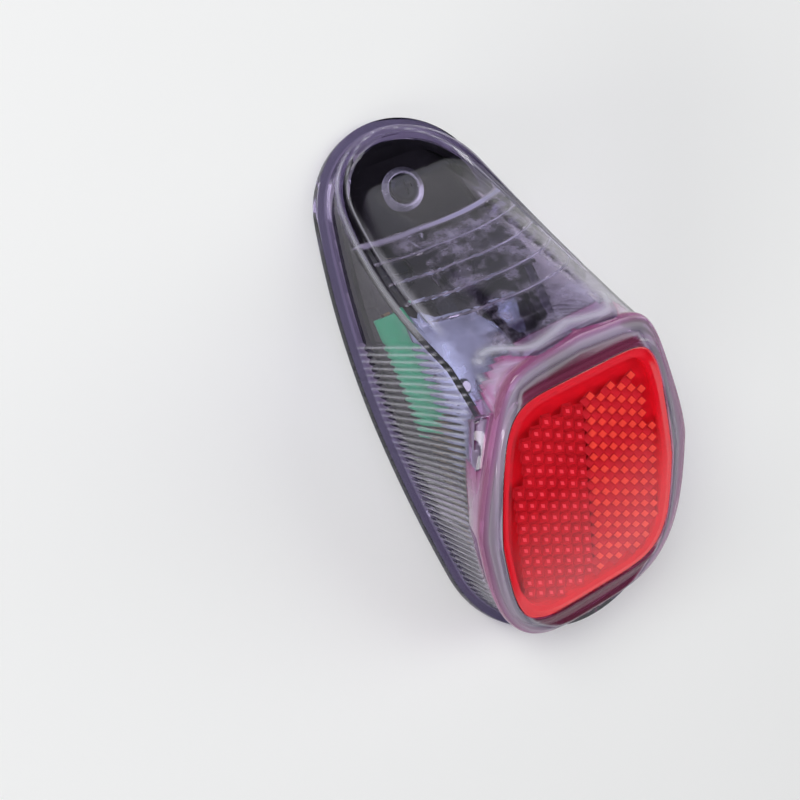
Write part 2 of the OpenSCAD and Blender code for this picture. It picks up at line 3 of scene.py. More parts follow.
import bmesh
import bpy
import numpy as np
from bpy.props import FloatProperty, FloatVectorProperty, IntProperty, PointerProperty
from mathutils import Matrix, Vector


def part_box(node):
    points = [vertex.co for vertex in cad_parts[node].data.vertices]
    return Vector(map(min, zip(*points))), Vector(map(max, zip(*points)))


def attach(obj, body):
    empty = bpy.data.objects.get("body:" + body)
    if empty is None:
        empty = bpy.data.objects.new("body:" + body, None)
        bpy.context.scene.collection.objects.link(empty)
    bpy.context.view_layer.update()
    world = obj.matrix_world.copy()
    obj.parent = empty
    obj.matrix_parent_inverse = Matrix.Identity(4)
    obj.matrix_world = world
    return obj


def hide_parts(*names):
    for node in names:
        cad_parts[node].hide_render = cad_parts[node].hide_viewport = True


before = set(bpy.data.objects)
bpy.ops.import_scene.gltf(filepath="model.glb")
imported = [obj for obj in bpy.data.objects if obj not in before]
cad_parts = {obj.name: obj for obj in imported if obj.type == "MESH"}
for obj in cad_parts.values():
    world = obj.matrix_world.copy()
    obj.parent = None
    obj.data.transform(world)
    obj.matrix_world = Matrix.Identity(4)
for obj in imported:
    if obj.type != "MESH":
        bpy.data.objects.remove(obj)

bl_info = {
    "name": "Bicycle Rear Light",
    "version": (1, 0, 0),
    "blender": (4, 5, 0),
    "location": "View3D > Sidebar > Rear Light",
    "description": "Makes a rear light's cover, reflector and washer, and finishes its other pieces",
    "category": "Add Mesh",
}

MM = 0.001

# The frame's own places, in millimetres
COVER_LOW, COVER_HIGH = (np.array(corner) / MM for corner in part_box("cover"))
HEEL_Y, TIP_Y = COVER_LOW[1], COVER_HIGH[1]
MIDDLE_Y, LENGTH = (HEEL_Y + TIP_Y) / 2, TIP_Y - HEEL_Y

# Plan of the flange, as the frame has it: tip arc, heel arc and the long side arcs
WIDTH = 44.2
TIP_R, HEEL_R = 18.0, 20.5
TIP_CY, HEEL_CY = TIP_Y - TIP_R, HEEL_Y + HEEL_R
WIDEST_Y = HEEL_Y + 48.3
FLANGE_W, FLANGE_T = 1.7, 2.2

# Reflector face: its middle and its slope of 30 degrees
FACE_Y, FACE_Z = HEEL_Y + 24.3, 24.0
FACE_COS, FACE_SIN = math.cos(math.radians(30)), math.sin(math.radians(30))

# Outlines on the face: half width, middle, and each end's reach, taper, squareness and arch
BEZEL_HALF, BEZEL_U = 22.45, 4.0
BEZEL_ENDS = ((30.6, 0.32, 10, 0.0105), (29.2, 0.1, 3.5, 0.0))
RED_HALF, RED_U = 18.7, 1.5
RED_ENDS = ((26.1, 0.2, 7, 0.0), (21.5, 0.1, 5, 0.0))

# Steps inwards from these outlines, and depths behind the face
BEZEL_DEPTH, BEZEL_FLARE, BEZEL_FRONT = 6.0, 1.5, 1.2
SEAT_DEPTH, SEAT_STEP, SEAT_PLAY = 2.5, 1.6, 0.1
OPENING_DEPTH, OVER_FACE = 9, 4
PRISM_BACK = -1.9
SHELF_INSET, WALL_INSET = 0.9, 0.7
OUTSIDE_DEPTH, HOLLOW_DEPTH = 0.5, 3.2

# Wall: where it starts over the flange, and its lean, which grows over a stretch past the face
WALL_FOOT = FLANGE_T + 0.15
LEAN_HEEL, LEAN_GAIN, LEAN_FROM, LEAN_OVER = -0.05, 0.165, 5, 27

# Sloping window: its middle strip, the creases and flanks, the low apron at the tip, and how much
# thicker the strip's skin is when measured upright
STRIP_X = 8.2
WINDOW_Y, WINDOW_Z, WINDOW_SLOPE, WINDOW_CURVE = FACE_Y + 30, 40.2, 0.839, 0.0036
CREASE_ROUND, CREASE_DROP = 1.2, 0.03
FLANK_SLOPE, FLANK_FROM, FLANK_OVER = 1.14, 38, 30
APRON_Y, APRON_Z, APRON_SLOPE = FACE_Y + 64.3, 6.5, 0.33
APRON_ROUND, APRON_DROP = 1.6, 0.1
SKIN_UPRIGHT = 1.35

# Ribs inside the window: the first one's place, how far each bows, where they die out, how far
# under the outside they lie, and how far across their finish reaches
RIB_TOP_Y, RIB_BOW, RIB_BOW_X = FACE_Y + 54.4, 1.3, 13
RIB_FADE, RIB_UNDER, RIB_REACH = (12.5, 15), (1.1, 4.5), 14.6

# Flutes of the wall: first and last place, lean, the diagonal they end at, and columns to each
FLUTE_FIRST, FLUTE_LAST_Y, FLUTE_LEAN = 13.0, FACE_Y + 40.3, 0.14
FLUTE_TOP_Y, FLUTE_TOP_Z, FLUTE_TOP_SLOPE = FACE_Y + 39.5, 22.3, 1.42
FLUTE_COLUMNS = 8

# Oval bead: where it leaves the wall and turns in along the crease, and the crease's height
BEAD_TURN_Y = (FACE_Y + 36.5, FACE_Y + 40)
CREASE_HEIGHT = 2.2

# Finish of the cover: how matt the ribs' risers, the flutes' crests and the bead's lines are, and how
# strongly they are painted pale as a painted highlight, how cloudy the bezel is, and the width that its tints
# spread over
RISER_MATT_AND_SHEEN, CREST_MATT_AND_SHEEN, BEAD_MATT_AND_SHEEN = 0.85, 0.3, 0.4
BEZEL_CLOUD, BEZEL_SPREAD = 0.34, 4.2

# Carrier's tongue at the heel, and the slot and bar of the flange that it hooks into
TONGUE_W, TONGUE_TOP, TONGUE_PLAY = 10.4, 4.2, 0.4
HOOK_BAR = (1.3, 1.6)
SLOT_LENGTH = 4.7

# The photograph's camera, in metres, and its axes
CAMERA_AT = (-0.0895, 0.02415, 0.1854)
CAMERA_RIGHT = (0.838, -0.389, 0.3825)
CAMERA_UP = (0.402, 0.9145, 0.05)
CAMERA_LENS = 49.17

# Clear plastic, and its tints by their place on the tint's scale: the flange's, then the bezel's
# from its edge inwards. The bezel's pink stops are a painted glow of the reflector's red light.
CLEAR = "#E6E1EC"
TINTS_AND_RED_GLOW = ((0.25, "#8D8A9E"), (0.5, "#C45C98"), (0.58, "#E8AAD6"), (0.68, "#F6E0F4"),
         (0.8, "#E6DAEC"), (0.88, "#B4AABE"), (0.94, "#F6EEF8"), (1.0, "#A04868"))


def linear(code):
    """An sRGB hex colour as linear RGBA."""
    part = [int(code[i : i + 2], 16) / 255 for i in (1, 3, 5)]
    return tuple(c / 12.92 if c <= 0.04045 else ((c + 0.055) / 1.055) ** 2.4 for c in part) + (1.0,)


def mesh_object(name, points, faces):
    """A new object at the origin with its place in its mesh. Points are in millimetres."""
    mesh = bpy.data.meshes.new(name)
    mesh.from_pydata((np.asarray(points) * MM).tolist(), [], [list(map(int, f)) for f in faces])
    mesh.update()
    obj = bpy.data.objects.new(name, mesh)
    bpy.context.scene.collection.objects.link(obj)
    return obj


def tidy_mesh(obj, outward=True):
    """Merges doubles, drops faces with no area and turns the faces outwards."""
    bm = bmesh.new()
    bm.from_mesh(obj.data)
    bmesh.ops.remove_doubles(bm, verts=bm.verts, dist=2e-6)
    bmesh.ops.dissolve_degenerate(bm, dist=1e-7, edges=bm.edges)
    if outward:
        bmesh.ops.recalc_face_normals(bm, faces=bm.faces)
    bm.to_mesh(obj.data)
    bm.free()
    obj.data.update()


def grid_faces(rows, cols):
    """Four-sided faces of a grid of points stored row by row, closed round its columns."""
    r = np.arange(rows - 1)[:, None]
    c = np.arange(cols)[None, :]
    after = (c + 1) % cols
    corners = [r * cols + c, r * cols + after, (r + 1) * cols + after, (r + 1) * cols + c]
    return np.stack(corners, -1).reshape(-1, 4)


def grid_object(name, grid):
    """A closed skin over a grid of points, rows by columns by xyz. Each end row is gathered in one
    place, or both lie in the same places."""
    obj = mesh_object(name, grid.reshape(-1, 3), grid_faces(*grid.shape[:2]))
    tidy_mesh(obj)
    return obj


def cut(obj, tool, operation="DIFFERENCE"):
    """Joins a helper solid to obj, or takes it away, and removes the helper."""
    modifier = obj.modifiers.new("cut", "BOOLEAN")
    modifier.operation = operation
    modifier.solver = "MANIFOLD"
    modifier.object = tool
    depsgraph = bpy.context.evaluated_depsgraph_get()
    made = bpy.data.meshes.new_from_object(obj.evaluated_get(depsgraph))
    made.materials.clear()
    obj.modifiers.remove(modifier)
    old = obj.data
    obj.data = made
    made.name = obj.name
    bpy.data.meshes.remove(old)
    bpy.data.objects.remove(tool)


def smooth(obj, degrees):
    """Smooth shading, with sharp edges where two faces meet at more than this angle."""
    obj.data.shade_smooth()
    obj.data.set_sharp_from_angle(angle=math.radians(degrees))


def smoothstep(low, high, value):
    """0 below low, 1 above high, and an S-shaped cubic between them."""
    t = np.clip((value - low) / (high - low), 0, 1)
    return t * t * (3 - 2 * t)


def bell(value, middle, width, power=2):
    """A bell curve: e to the power of minus the distance from the middle, in widths, squared or
    raised to another power."""
    return np.exp(-((value - middle) / width) ** power)


def face_point(x, u, n):
    """A point of the reflector face: x across, u up the face, n out of it, as x, y, z."""
    return np.stack(np.broadcast_arrays(x, FACE_Y + u * FACE_COS - n * FACE_SIN,
                                        FACE_Z + u * FACE_SIN + n * FACE_COS), -1)


def to_face(y, z):
    """How far up the reflector face and how far out of it a place lies."""
    return ((y - FACE_Y) * FACE_COS + (z - FACE_Z) * FACE_SIN,
            (z - FACE_Z) * FACE_COS - (y - FACE_Y) * FACE_SIN)


def side_radius(r, cy):
    """Radius of the long side arc that touches the end arc of radius r centred at cy."""
    half = WIDTH / 2
    return (half * half + (cy - WIDEST_Y) ** 2 - r * r) / (2 * (half - r))


def half_width(y, inset):
    """Half width of the plan at y, drawn in by inset: a circle's chord at each end, and the
    chord of a long arc, less the arc's offset, along the sides."""
    half = WIDTH / 2
    tip_side, heel_side = side_radius(TIP_R, TIP_CY), side_radius(HEEL_R, HEEL_CY)
    tip_touch = TIP_CY + (TIP_R - inset) * (TIP_CY - WIDEST_Y) / (tip_side - TIP_R)
    heel_touch = HEEL_CY + (HEEL_R - inset) * (HEEL_CY - WIDEST_Y) / (heel_side - HEEL_R)

    def chord(r, t):
        return np.sqrt(np.maximum(r * r - t * t, 0))

    upper = np.where(y > tip_touch, chord(TIP_R - inset, y - TIP_CY),
                     chord(tip_side - inset, y - WIDEST_Y) - tip_side + half)
    lower = np.where(y < heel_touch, chord(HEEL_R - inset, y - HEEL_CY),
                     chord(heel_side - inset, y - WIDEST_Y) - heel_side + half)
    return np.where(y > WIDEST_Y, upper, lower)


def plan_y(inset, count):
    """Places from heel to tip, closer together at both ends: the middle plus half the length
    times the sine of an angle."""
    return MIDDLE_Y + (LENGTH / 2 - inset) * np.sin(np.linspace(-math.pi / 2, math.pi / 2, count))


def plan_curve(inset):
    """The right half of the plan from heel to tip as a fine chain: points, outward normals and
    the length along it."""
    y = plan_y(inset, 6001)
    x = half_width(y, inset)
    x[0] = x[-1] = 0
    tangent = np.gradient(np.stack([x, y], -1), axis=0)
    tangent /= np.linalg.norm(tangent, axis=1)[:, None]
    along = np.concatenate([[0], np.cumsum(np.hypot(np.diff(x), np.diff(y)))])
    return x, y, tangent[:, 1], -tangent[:, 0], along


def lean(y):
    """Share of its width that the wall loses per millimetre of height: from a slight outward
    lean near the heel to an inward one near the tip."""
    t = np.clip((y - FACE_Y - LEAN_FROM) / LEAN_OVER, 0, 1)
    return (LEAN_HEEL + LEAN_GAIN * t) / (WIDTH / 2)


def strip_z(y):
    """Height of the window's middle strip: a slope that steepens towards the tip."""
    t = y - WINDOW_Y
    return WINDOW_Z - WINDOW_SLOPE * t - WINDOW_CURVE * t * t


def rounded_max(a, b, width):
    """The greater of two values, rounded over: half of their sum and of the root of their
    difference squared and the width squared."""
    return 0.5 * (a + b + np.sqrt((a - b) ** 2 + width * width))


def window_z(x, y, skin=0.0):
    """Height of the window: the strip, less the fall of its flanks past the rounded creases, and
    never lower than the apron's plane. Skin is the wall's thickness, for the inner side."""
    flank = FLANK_SLOPE * (1 - np.clip((y - FACE_Y - FLANK_FROM) / FLANK_OVER, 0, 1) ** 2)
    past_crease = rounded_max(np.abs(x) - STRIP_X, 0, CREASE_ROUND) - CREASE_DROP
    body = strip_z(y) - flank * past_crease - SKIN_UPRIGHT * skin
    apron = APRON_Z - APRON_SLOPE * (y - APRON_Y) - skin
    return rounded_max(body, apron, APRON_ROUND) - APRON_DROP


def shelf_z(x, y, skin=0.0):
    """Height of the shelf between window and bezel: it stands square to the face under the upper
    half of the bezel's outline, drawn in by a little and by the wall's thickness."""
    ring_x, ring_u = bezel_quarter(SHELF_INSET + skin)
    edge = np.interp(-np.abs(x), -ring_x, ring_u)
    return FACE_Z + (edge - (y - FACE_Y) * FACE_COS) / FACE_SIN


def crown_z(x, y):
    """Height of the higher of window and shelf."""
    return np.maximum(window_z(x, y), shelf_z(x, y))


def face_plane_z(y, depth):
    """Height of a plane at this depth behind the reflector face."""
    return FACE_Z + (y - FACE_Y) * FACE_SIN / FACE_COS - depth / FACE_COS


def outer_top_z(x, y):
    """Height of the cover's upper side: the face, or else the higher of window and shelf."""
    return np.minimum(face_plane_z(y, OUTSIDE_DEPTH), crown_z(x, y))


def outline(half, ends, inset, steps):
    """Outline on the face, widest at u = 0: its half width tapers by a power of the share of the
    way to each end and closes as a superellipse, and the end may be arched by a parabola."""
    quarter = np.arange(4 * steps) // steps
    part = np.arange(4 * steps) / steps - quarter
    t = 1 - (1 - np.where(quarter % 2 == 0, part, 1 - part)) ** 2
    up = quarter < 2
    reach, taper, square, arch = (np.where(up, ends[0][i], ends[1][i]) for i in range(4))
    side = np.where((quarter == 0) | (quarter == 3), 1, -1)
    x = side * (half - inset) * (1 - taper * t ** 1.3) * np.maximum(1 - t ** square, 0) ** (1 / square)
    return x, np.where(up, 1, -1) * ((reach - inset) * t - arch * x * x * smoothstep(0, 1, t))


def bezel_ring(inset, steps=60):
    """The bezel's outline, drawn in by inset, in face coordinates."""
    x, u = outline(BEZEL_HALF, BEZEL_ENDS, inset, steps)
    return x, u + BEZEL_U


def bezel_quarter(inset):
    """The upper right quarter of the bezel's outline, from its side to its top."""
    x, u = bezel_ring(inset)
    end = len(x) // 4 + 1
    return x[:end], u[:end]


def red_ring(inset, steps=60):
    """The reflector's outline, drawn in by inset, in face coordinates."""
    x, u = outline(RED_HALF, RED_ENDS, inset, steps)
    return x, u + RED_U


def under_bezel(x, y, z, inset):
    """The wall's x at y and z, drawn in under the bezel's outline where it nears the face, so
    that no corner of the wall stands past the bezel. Well below the face nothing limits it."""
    u, n = to_face(y, z)
    ring_x, ring_u = bezel_quarter(inset)
    well_below = 1 - smoothstep(-10, -2.5, n)
    return np.minimum(x, np.interp(u, ring_u, ring_x) + 30 * well_below)


def top_rows(edge_x, length, bead_width, bead_rows, rows):
    """Shares of the way from the wall's edge to the spine for each column of the top: close
    together over the bead and, by a power of the row's own share, at the strip's crease, wherever
    the edge is wide enough for one."""
    power = 1.7
    reach = np.abs(edge_x)[None, :]
    bead = np.linspace(0, 1, bead_rows)[:, None] * bead_width / length
    crease = 1 - STRIP_X / np.maximum(reach, STRIP_X)
    crease = np.where(crease > bead[-1:] + 0.08, crease, 0.5)
    part = np.linspace(0, 1, rows + 1)[1:, None]
    outer = bead[-1:] + (crease - bead[-1:]) * (1 - (1 - part) ** power)
    inner = crease + (1 - crease) * part ** power
    return np.concatenate([bead, outer, inner])


def mirror_columns(x, y, z):
    """A closed grid from its right half: the left half follows, mirrored and in reverse."""
    right = np.stack([x, y, z], -1)
    left = right[:, ::-1][:, 1:-1] * np.array([-1, 1, 1])
    return np.concatenate([right, left], axis=1)


def spine_y(y):
    """Where the top's columns meet the spine: at their own y, but gathered at the two ends."""
    return np.clip(y, HEEL_Y + 16, TIP_Y - 15)


def wall_top(start, height):
    """Height at which the wall meets the top: from a first guess, half of the way to the top's
    height there, fourteen times over."""
    edge = start
    for _ in range(14):
        edge = 0.5 * edge + 0.5 * height(edge)
    return edge


def flute_places(s):
    """The last flute's place along the plan, in millimetres from the heel, and their number."""
    _, py, _, _, along = plan_curve(FLANGE_W)
    last = np.interp(FLUTE_LAST_Y, py, along)
    return last, int((last - FLUTE_FIRST) / (s.flute_pitch / MM))


def flute_phase(s, travel, z):
    """How many flute pitches a place lies before the last flute, by its travel along the plan and
    its height, because the flutes lean."""
    return (flute_places(s)[0] - travel - FLUTE_LEAN * (z - WALL_FOOT)) / (s.flute_pitch / MM)


def flute_height_end(y):
    """Height at which a flute at y ends: a diagonal, but never above the bezel's lower edge."""
    return np.minimum(face_plane_z(y, BEZEL_DEPTH),
                      FLUTE_TOP_Z + FLUTE_TOP_SLOPE * (FLUTE_TOP_Y - y))


def flute_relief(s, travel, z, top):
    """How far the flutes stand out: the sine of half a turn to each pitch, without its sign, and
    faded out towards their tops and the foot."""
    phase = flute_phase(s, travel, z)
    in_flutes = (phase > -0.01) & (phase < flute_places(s)[1] + 0.01)
    flute = np.where(in_flutes, np.abs(np.sin(np.pi * phase)), 0)
    fade = smoothstep(0, 1.8, top - z) * smoothstep(-0.1, 0.6, z - WALL_FOOT)
    return s.flute_depth / MM * flute * fade


def wall_columns(s, length):
    """Where the outer skin's columns stand along the plan, from the heel to its whole length: a
    few before the flutes, the same number to each flute, and 0.45 mm apart past them."""
    last, count = flute_places(s)
    fluted = last - np.arange(count * FLUTE_COLUMNS, -1, -1) * (s.flute_pitch / MM) / FLUTE_COLUMNS
    return np.concatenate([np.linspace(0, fluted[0], 30)[:-1], fluted,
                           np.arange(last + 0.4, length - 0.2, 0.45), [length]])


def make_shell_outside(s):
    """The cover's outer skin without its bezel. Columns stand round the plan and rows run from
    the underside over the flange, up the fluted wall, over the bead and across to the spine."""
    px, py, nx, ny, along = plan_curve(FLANGE_W)
    columns = wall_columns(s, along[-1])
    x0, y0, n_x, n_y = (np.interp(columns, along, v) for v in (px, py, nx, ny))
    x0[0] = x0[-1] = 0

    def wall(out, z):
        """The wall's point at height z, pushed out along the plan's normal."""
        x = (x0 + n_x * out) * (1 - lean(y0) * z)
        return under_bezel(x, y0, z, WALL_INSET), y0 + n_y * out

    edge = wall_top(np.full_like(y0, 10.0), lambda z: outer_top_z(wall(0, z)[0], y0))
    edge = np.maximum(edge, FLANGE_T + 0.8)
    flute_top = np.clip(flute_height_end(y0), WALL_FOOT + 0.2, edge - 0.2)
    low_share = np.concatenate([np.linspace(0, 0.1, 4), np.linspace(0.15, 1, 22)])[:, None]
    low = WALL_FOOT + (flute_top - WALL_FOOT) * low_share
    high = flute_top + (edge - flute_top) * np.linspace(0, 1, 9)[1:, None]
    wall_z = np.concatenate([low, high])
    wall_x, wall_y = wall(flute_relief(s, columns, wall_z, flute_top), wall_z)

    flange = [(FLANGE_W - 0.3, 0.0), (FLANGE_W, 0.3), (FLANGE_W, FLANGE_T - 0.5),
              (FLANGE_W - 0.1, FLANGE_T - 0.15), (FLANGE_W - 0.4, FLANGE_T), (0.4, FLANGE_T),
              (0.1, FLANGE_T + 0.1)]
    centre_y = spine_y(y0)
    zero = np.zeros_like(y0)
    rim = [(zero, centre_y, zero)] + [(*wall(out, 0), zero + height) for out, height in flange]
    rim_x, rim_y, rim_z = zip(*rim)

    length = np.hypot(wall_x[-1], wall_y[-1] - centre_y)
    share = top_rows(wall_x[-1], length, s.bead_width / MM, 9, 11)
    top_x = wall_x[-1] * (1 - share)
    top_y = wall_y[-1] + (centre_y - wall_y[-1]) * share
    top_z = outer_top_z(top_x, top_y) + bead_relief(s, top_x, top_y, share * length)
    top_z[0] = wall_z[-1]
    x = np.concatenate([rim_x, wall_x, top_x[1:]])
    y = np.concatenate([rim_y, wall_y, top_y[1:]])
    z = np.concatenate([rim_z, wall_z, top_z[1:]])
    x[:, 0] = x[:, -1] = 0
    return grid_object("cover", mirror_columns(x, y, z))


def crease_gap(x, y):
    """How far the window stands over the shelf, in heights of the crease between them."""
    return (window_z(x, y) - shelf_z(x, y)) / CREASE_HEIGHT


def bead_relief(s, x, y, travel):
    """The raised bead of the window's oval. Along the wall it is a flat band with rounded sides,
    and past the shelf's corner it turns in along the crease, as a bell curve across it."""
    width, height = s.bead_width / MM, s.bead_height / MM
    band = smoothstep(0.02, 0.5, travel) * (1 - smoothstep(width - 0.6, width, travel))
    groove = 1 - 0.55 * bell(travel, width * 0.45, 0.28)
    by_wall = smoothstep(*BEAD_TURN_Y, y)
    crease = bell(crease_gap(x, y), 0.6, 0.75)
    by_shelf = 1 - smoothstep(BEAD_TURN_Y[0] + 0.5, BEAD_TURN_Y[1], y)
    off_wall = smoothstep(0.4, 1.2, travel)
    below_face = smoothstep(0.2, 1.5, face_plane_z(y, 0) - crown_z(x, y))
    return height * (band * groove * by_wall + crease * (by_shelf * off_wall) * below_face)


def rib_phase(s, x, y):
    """How many rib pitches a place lies below the first rib. The ribs bow towards the tip by a
    parabola across the window."""
    return (RIB_TOP_Y + RIB_BOW * (x / RIB_BOW_X) ** 2 - y) / (s.rib_pitch / MM)


def riser_share(down):
    """Share of its pitch over which a rib rises: wide for the first and narrow for the others."""
    return np.where(down < 1, 0.32, 0.16)


def rib_depth(s, x, y):
    """How far the window's cross ribs stand in: a saw-tooth along the slope that rises from the
    side of the tip, over the riser's share of its pitch, and dies out past the strip's flanks."""
    down = rib_phase(s, x, y)
    part, riser = down - np.floor(down), riser_share(down)
    tooth = np.where(part < riser, part / riser, 1 - (part - riser) / (1 - riser))
    on = ((down > 0) & (down < s.rib_count)).astype(float)
    return s.rib_height / MM * tooth * on * (1 - smoothstep(*RIB_FADE, np.abs(x)))


def make_shell_hollow(s):
    """The hollow inside the cover: a wall's thickness inside the outer skin, ribbed above. Its
    columns stand 0.22 mm apart where the ribs are."""
    skin = s.wall / MM
    inset = FLANGE_W + skin
    y0 = plan_y(inset, 240)
    ribs_end = RIB_TOP_Y - s.rib_count * s.rib_pitch / MM
    ribbed = np.arange(ribs_end - 0.4, RIB_TOP_Y + RIB_BOW + 0.6, 0.22)
    y0 = np.concatenate([y0[y0 < ribbed[0] - 0.1], ribbed, y0[y0 > ribbed[-1] + 0.1]])
    x0 = half_width(y0, inset)
    x0[0] = x0[-1] = 0

    def wall(z):
        return under_bezel(x0 * (1 - lean(y0) * z), y0, z, WALL_INSET + skin)

    def top(x, y):
        inner = np.maximum(window_z(x, y, skin) - rib_depth(s, x, y), shelf_z(x, y, skin))
        return np.minimum(face_plane_z(y, HOLLOW_DEPTH), inner)

    edge = np.maximum(wall_top(np.full_like(y0, 8.0), lambda z: top(wall(z), y0)), 0.5)
    wall_z = -1 + (edge + 1) * np.linspace(0, 1, 14)[:, None]
    wall_x = wall(wall_z)
    wall_y = np.broadcast_to(y0, wall_z.shape)
    centre_y = spine_y(y0)
    share = top_rows(wall_x[-1], np.hypot(wall_x[-1], y0 - centre_y), 0.6, 4, 11)
    top_x = wall_x[-1] * (1 - share)
    top_y = y0 + (centre_y - y0) * share
    top_z = top(top_x, top_y)
    top_z[0] = edge
    zero = np.zeros_like(y0)
    x = np.concatenate([[zero], wall_x, top_x[1:]])
    y = np.concatenate([[centre_y], wall_y, top_y[1:]])
    z = np.concatenate([[zero - 1], wall_z, top_z[1:]])
    x[:, 0] = x[:, -1] = 0
    return grid_object("hollow", mirror_columns(x, y, z))


def rib_marks(s, x, y, z):
    """How matt the ribs' risers are and how strongly they are painted pale as a painted highlight, by a
    flat-topped bell over each, stronger on the first rib and to the right, where the painted highlight is
    brighter, and how far a place belongs to the ribs at all, for their haze."""
    down = rib_phase(s, x, y)
    part = down - np.floor(down)
    under = (z < window_z(x, y) - RIB_UNDER[0]) & (z > window_z(x, y) - RIB_UNDER[1])
    inside = under & (np.abs(x) < RIB_REACH)
    on = inside & (down > 0) & (down < s.rib_count)
    riser = np.where(on, bell(part / riser_share(down), 0.5, 0.45, 4), 0)
    # Painted highlight: brighter on the first rib and towards the right.
    riser *= np.where(down < 1, 0.6, 0.3) + 0.7 * smoothstep(-12, 7, x)
    ribbed = inside * smoothstep(0, 0.8, down) * (1 - smoothstep(5.5, 7.5, down))
    return riser, ribbed * (1 - smoothstep(8, 13, np.abs(x)))


def wall_half(y, z):
    """Half width of the outer wall at y and z."""
    return half_width(y, FLANGE_W) * (1 - lean(y) * z)


def flute_marks(s, x, y, z, n):
    """How matt the flutes' crests are and how strongly they are painted pale as a painted highlight: the
    eighth power of a flute's own sine.
    """
    _, py, _, _, along = plan_curve(FLANGE_W)
    phase = flute_phase(s, np.interp(y, py, along), z)
    wall = (np.abs(x) > wall_half(y, z) - 0.5) & (z > FLANGE_T + 0.1)
    on = wall & (phase > 0) & (phase < flute_places(s)[1]) & (z < flute_height_end(y)) & (n < -BEZEL_DEPTH)
    return np.where(on, np.abs(np.sin(np.pi * phase)) ** 8, 0)


def bead_marks(s, x, y, z, n):
    """How matt the bead's two lines are and how strongly they are painted pale as a painted highlight: a bell
    across each, by the wall and along the crease.
    """
    inwards = (wall_half(y, z) - np.abs(x)) / (s.bead_width / MM)
    by_wall = bell(inwards, 0.15, 0.09) + bell(inwards, 0.85, 0.09)
    by_crease = bell(crease_gap(x, y), 0.1, 0.2) + bell(crease_gap(x, y), 1.2, 0.25)
    share = smoothstep(*BEAD_TURN_Y, y)
    on = (np.abs(z - crown_z(x, y)) < 0.9) & (n < -0.8)
    return np.where(on, by_wall * share + by_crease * (1 - share), 0)


def bezel_gap(x, u):
    """How far inside the bezel's outline a place of the face lies: the lesser of the gap beside it
    and the gap above it."""
    upper_x, upper_u = bezel_quarter(0)
    ring_x, ring_u = bezel_ring(0)
    lower = slice(3 * len(ring_x) // 4, len(ring_x))
    beside = np.where(u > upper_u[0], np.interp(u, upper_u, upper_x),
                      np.interp(u, ring_u[lower], ring_x[lower])) - np.abs(x)
    above = np.interp(-np.abs(x), -upper_x, upper_u) - u
    return np.minimum(beside, above)


def mark_finish(cover, s):
    """Stores on the cover's points how matt the plastic is, with the pale painted highlight that goes with
    it, how cloudy, where its ribs are, and a
    tint: 0 for the walls, 0.25 for the flange and 0.5 to 1 across the bezel, where it carries a painted pink
    glow of the reflector's red light."""
    place = np.empty(len(cover.data.vertices) * 3)
    cover.data.vertices.foreach_get("co", place)
    x, y, z = (place.reshape(-1, 3) / MM).T
    u, n = to_face(y, z)

    riser, ribbed = rib_marks(s, x, y, z)
    crest_sheen, bead = flute_marks(s, x, y, z, n), bead_marks(s, x, y, z, n)
    # Pale, rougher lines on risers, crests and bead: partly a matt finish, partly a painted highlight.
    matt = np.clip(RISER_MATT_AND_SHEEN * riser + CREST_MATT_AND_SHEEN * crest_sheen + BEAD_MATT_AND_SHEEN * bead, 0, 1)
    gap = bezel_gap(x, u)
    ring = (gap > -0.12) & (n > -BEZEL_DEPTH - 0.2)
    flange = (z < FLANGE_T + 0.05) & (n < -BEZEL_DEPTH)
    # Across the bezel the tint paints the reflector's red light in it as a pink glow.
    tint_and_glow = np.where(ring, 0.5 + 0.5 * np.clip(gap / BEZEL_SPREAD, 0, 1), np.where(flange, 0.25, 0))
    cloud = np.maximum(matt, BEZEL_CLOUD * ring)
    for name, value in (("matt", matt), ("tint_and_glow", tint_and_glow), ("cloud", cloud), ("ribs", ribbed)):
        cover.data.attributes.new(name, "FLOAT", "POINT").data.foreach_set("value", value)


def face_middle(n, u=RED_U):
    """The middle of an outline on the face, at this height out of it."""
    return face_point(np.zeros(1), np.full(1, u), np.full(1, n))[0]


def ring_rows(ring, steps):
    """An outline on the face at each step of (inset, height)."""
    return [face_point(*ring(inset), n) for inset, n in steps]


def gathered(rows, low, high):
    """A grid of rows that begins and ends in one point each."""
    cols = (len(rows[0]), 1)
    return np.stack([np.tile(low, cols), *rows, np.tile(high, cols)])


def make_bezel_block():
    """The bezel as a closed disc: rows are the outline at each inset and depth, out to the front
    edge, then blended towards the reflector's outline for the lip round the red."""
    rows = ring_rows(bezel_ring, [(BEZEL_FLARE + 0.4, -BEZEL_DEPTH), (BEZEL_FLARE, -BEZEL_DEPTH + 0.1),
                                  (0.55, -2.6), (0.1, -1.2), (0.12, -0.75), (0.35, -0.3),
                                  (0.75, -0.08), (BEZEL_FRONT, 0.0)])
    bx, bu = bezel_ring(BEZEL_FRONT)
    rx, ru = red_ring(-1.1)
    for share, n in [(0.12, -0.12), (0.35, -0.2), (0.6, -0.2), (0.85, -0.1), (1.0, 0.0)]:
        rows.append(face_point(bx + (rx - bx) * share, bu + (ru - bu) * share, n))
    rows += ring_rows(red_ring, [(-0.9, 0.22), (-0.3, 0.3), (0.3, 0.2), (1.0, 0.0)])
    return grid_object("bezel", gathered(rows, face_middle(-BEZEL_DEPTH, BEZEL_U), face_middle(0, BEZEL_U)))


def make_prism(name, ring, inset, n_low, n_high):
    """A plain prism over an outline of the face, between two heights."""
    rows = ring_rows(ring, [(inset, n_low), (inset, n_high)])
    return grid_object(name, gathered(rows, face_middle(n_low), face_middle(n_high)))


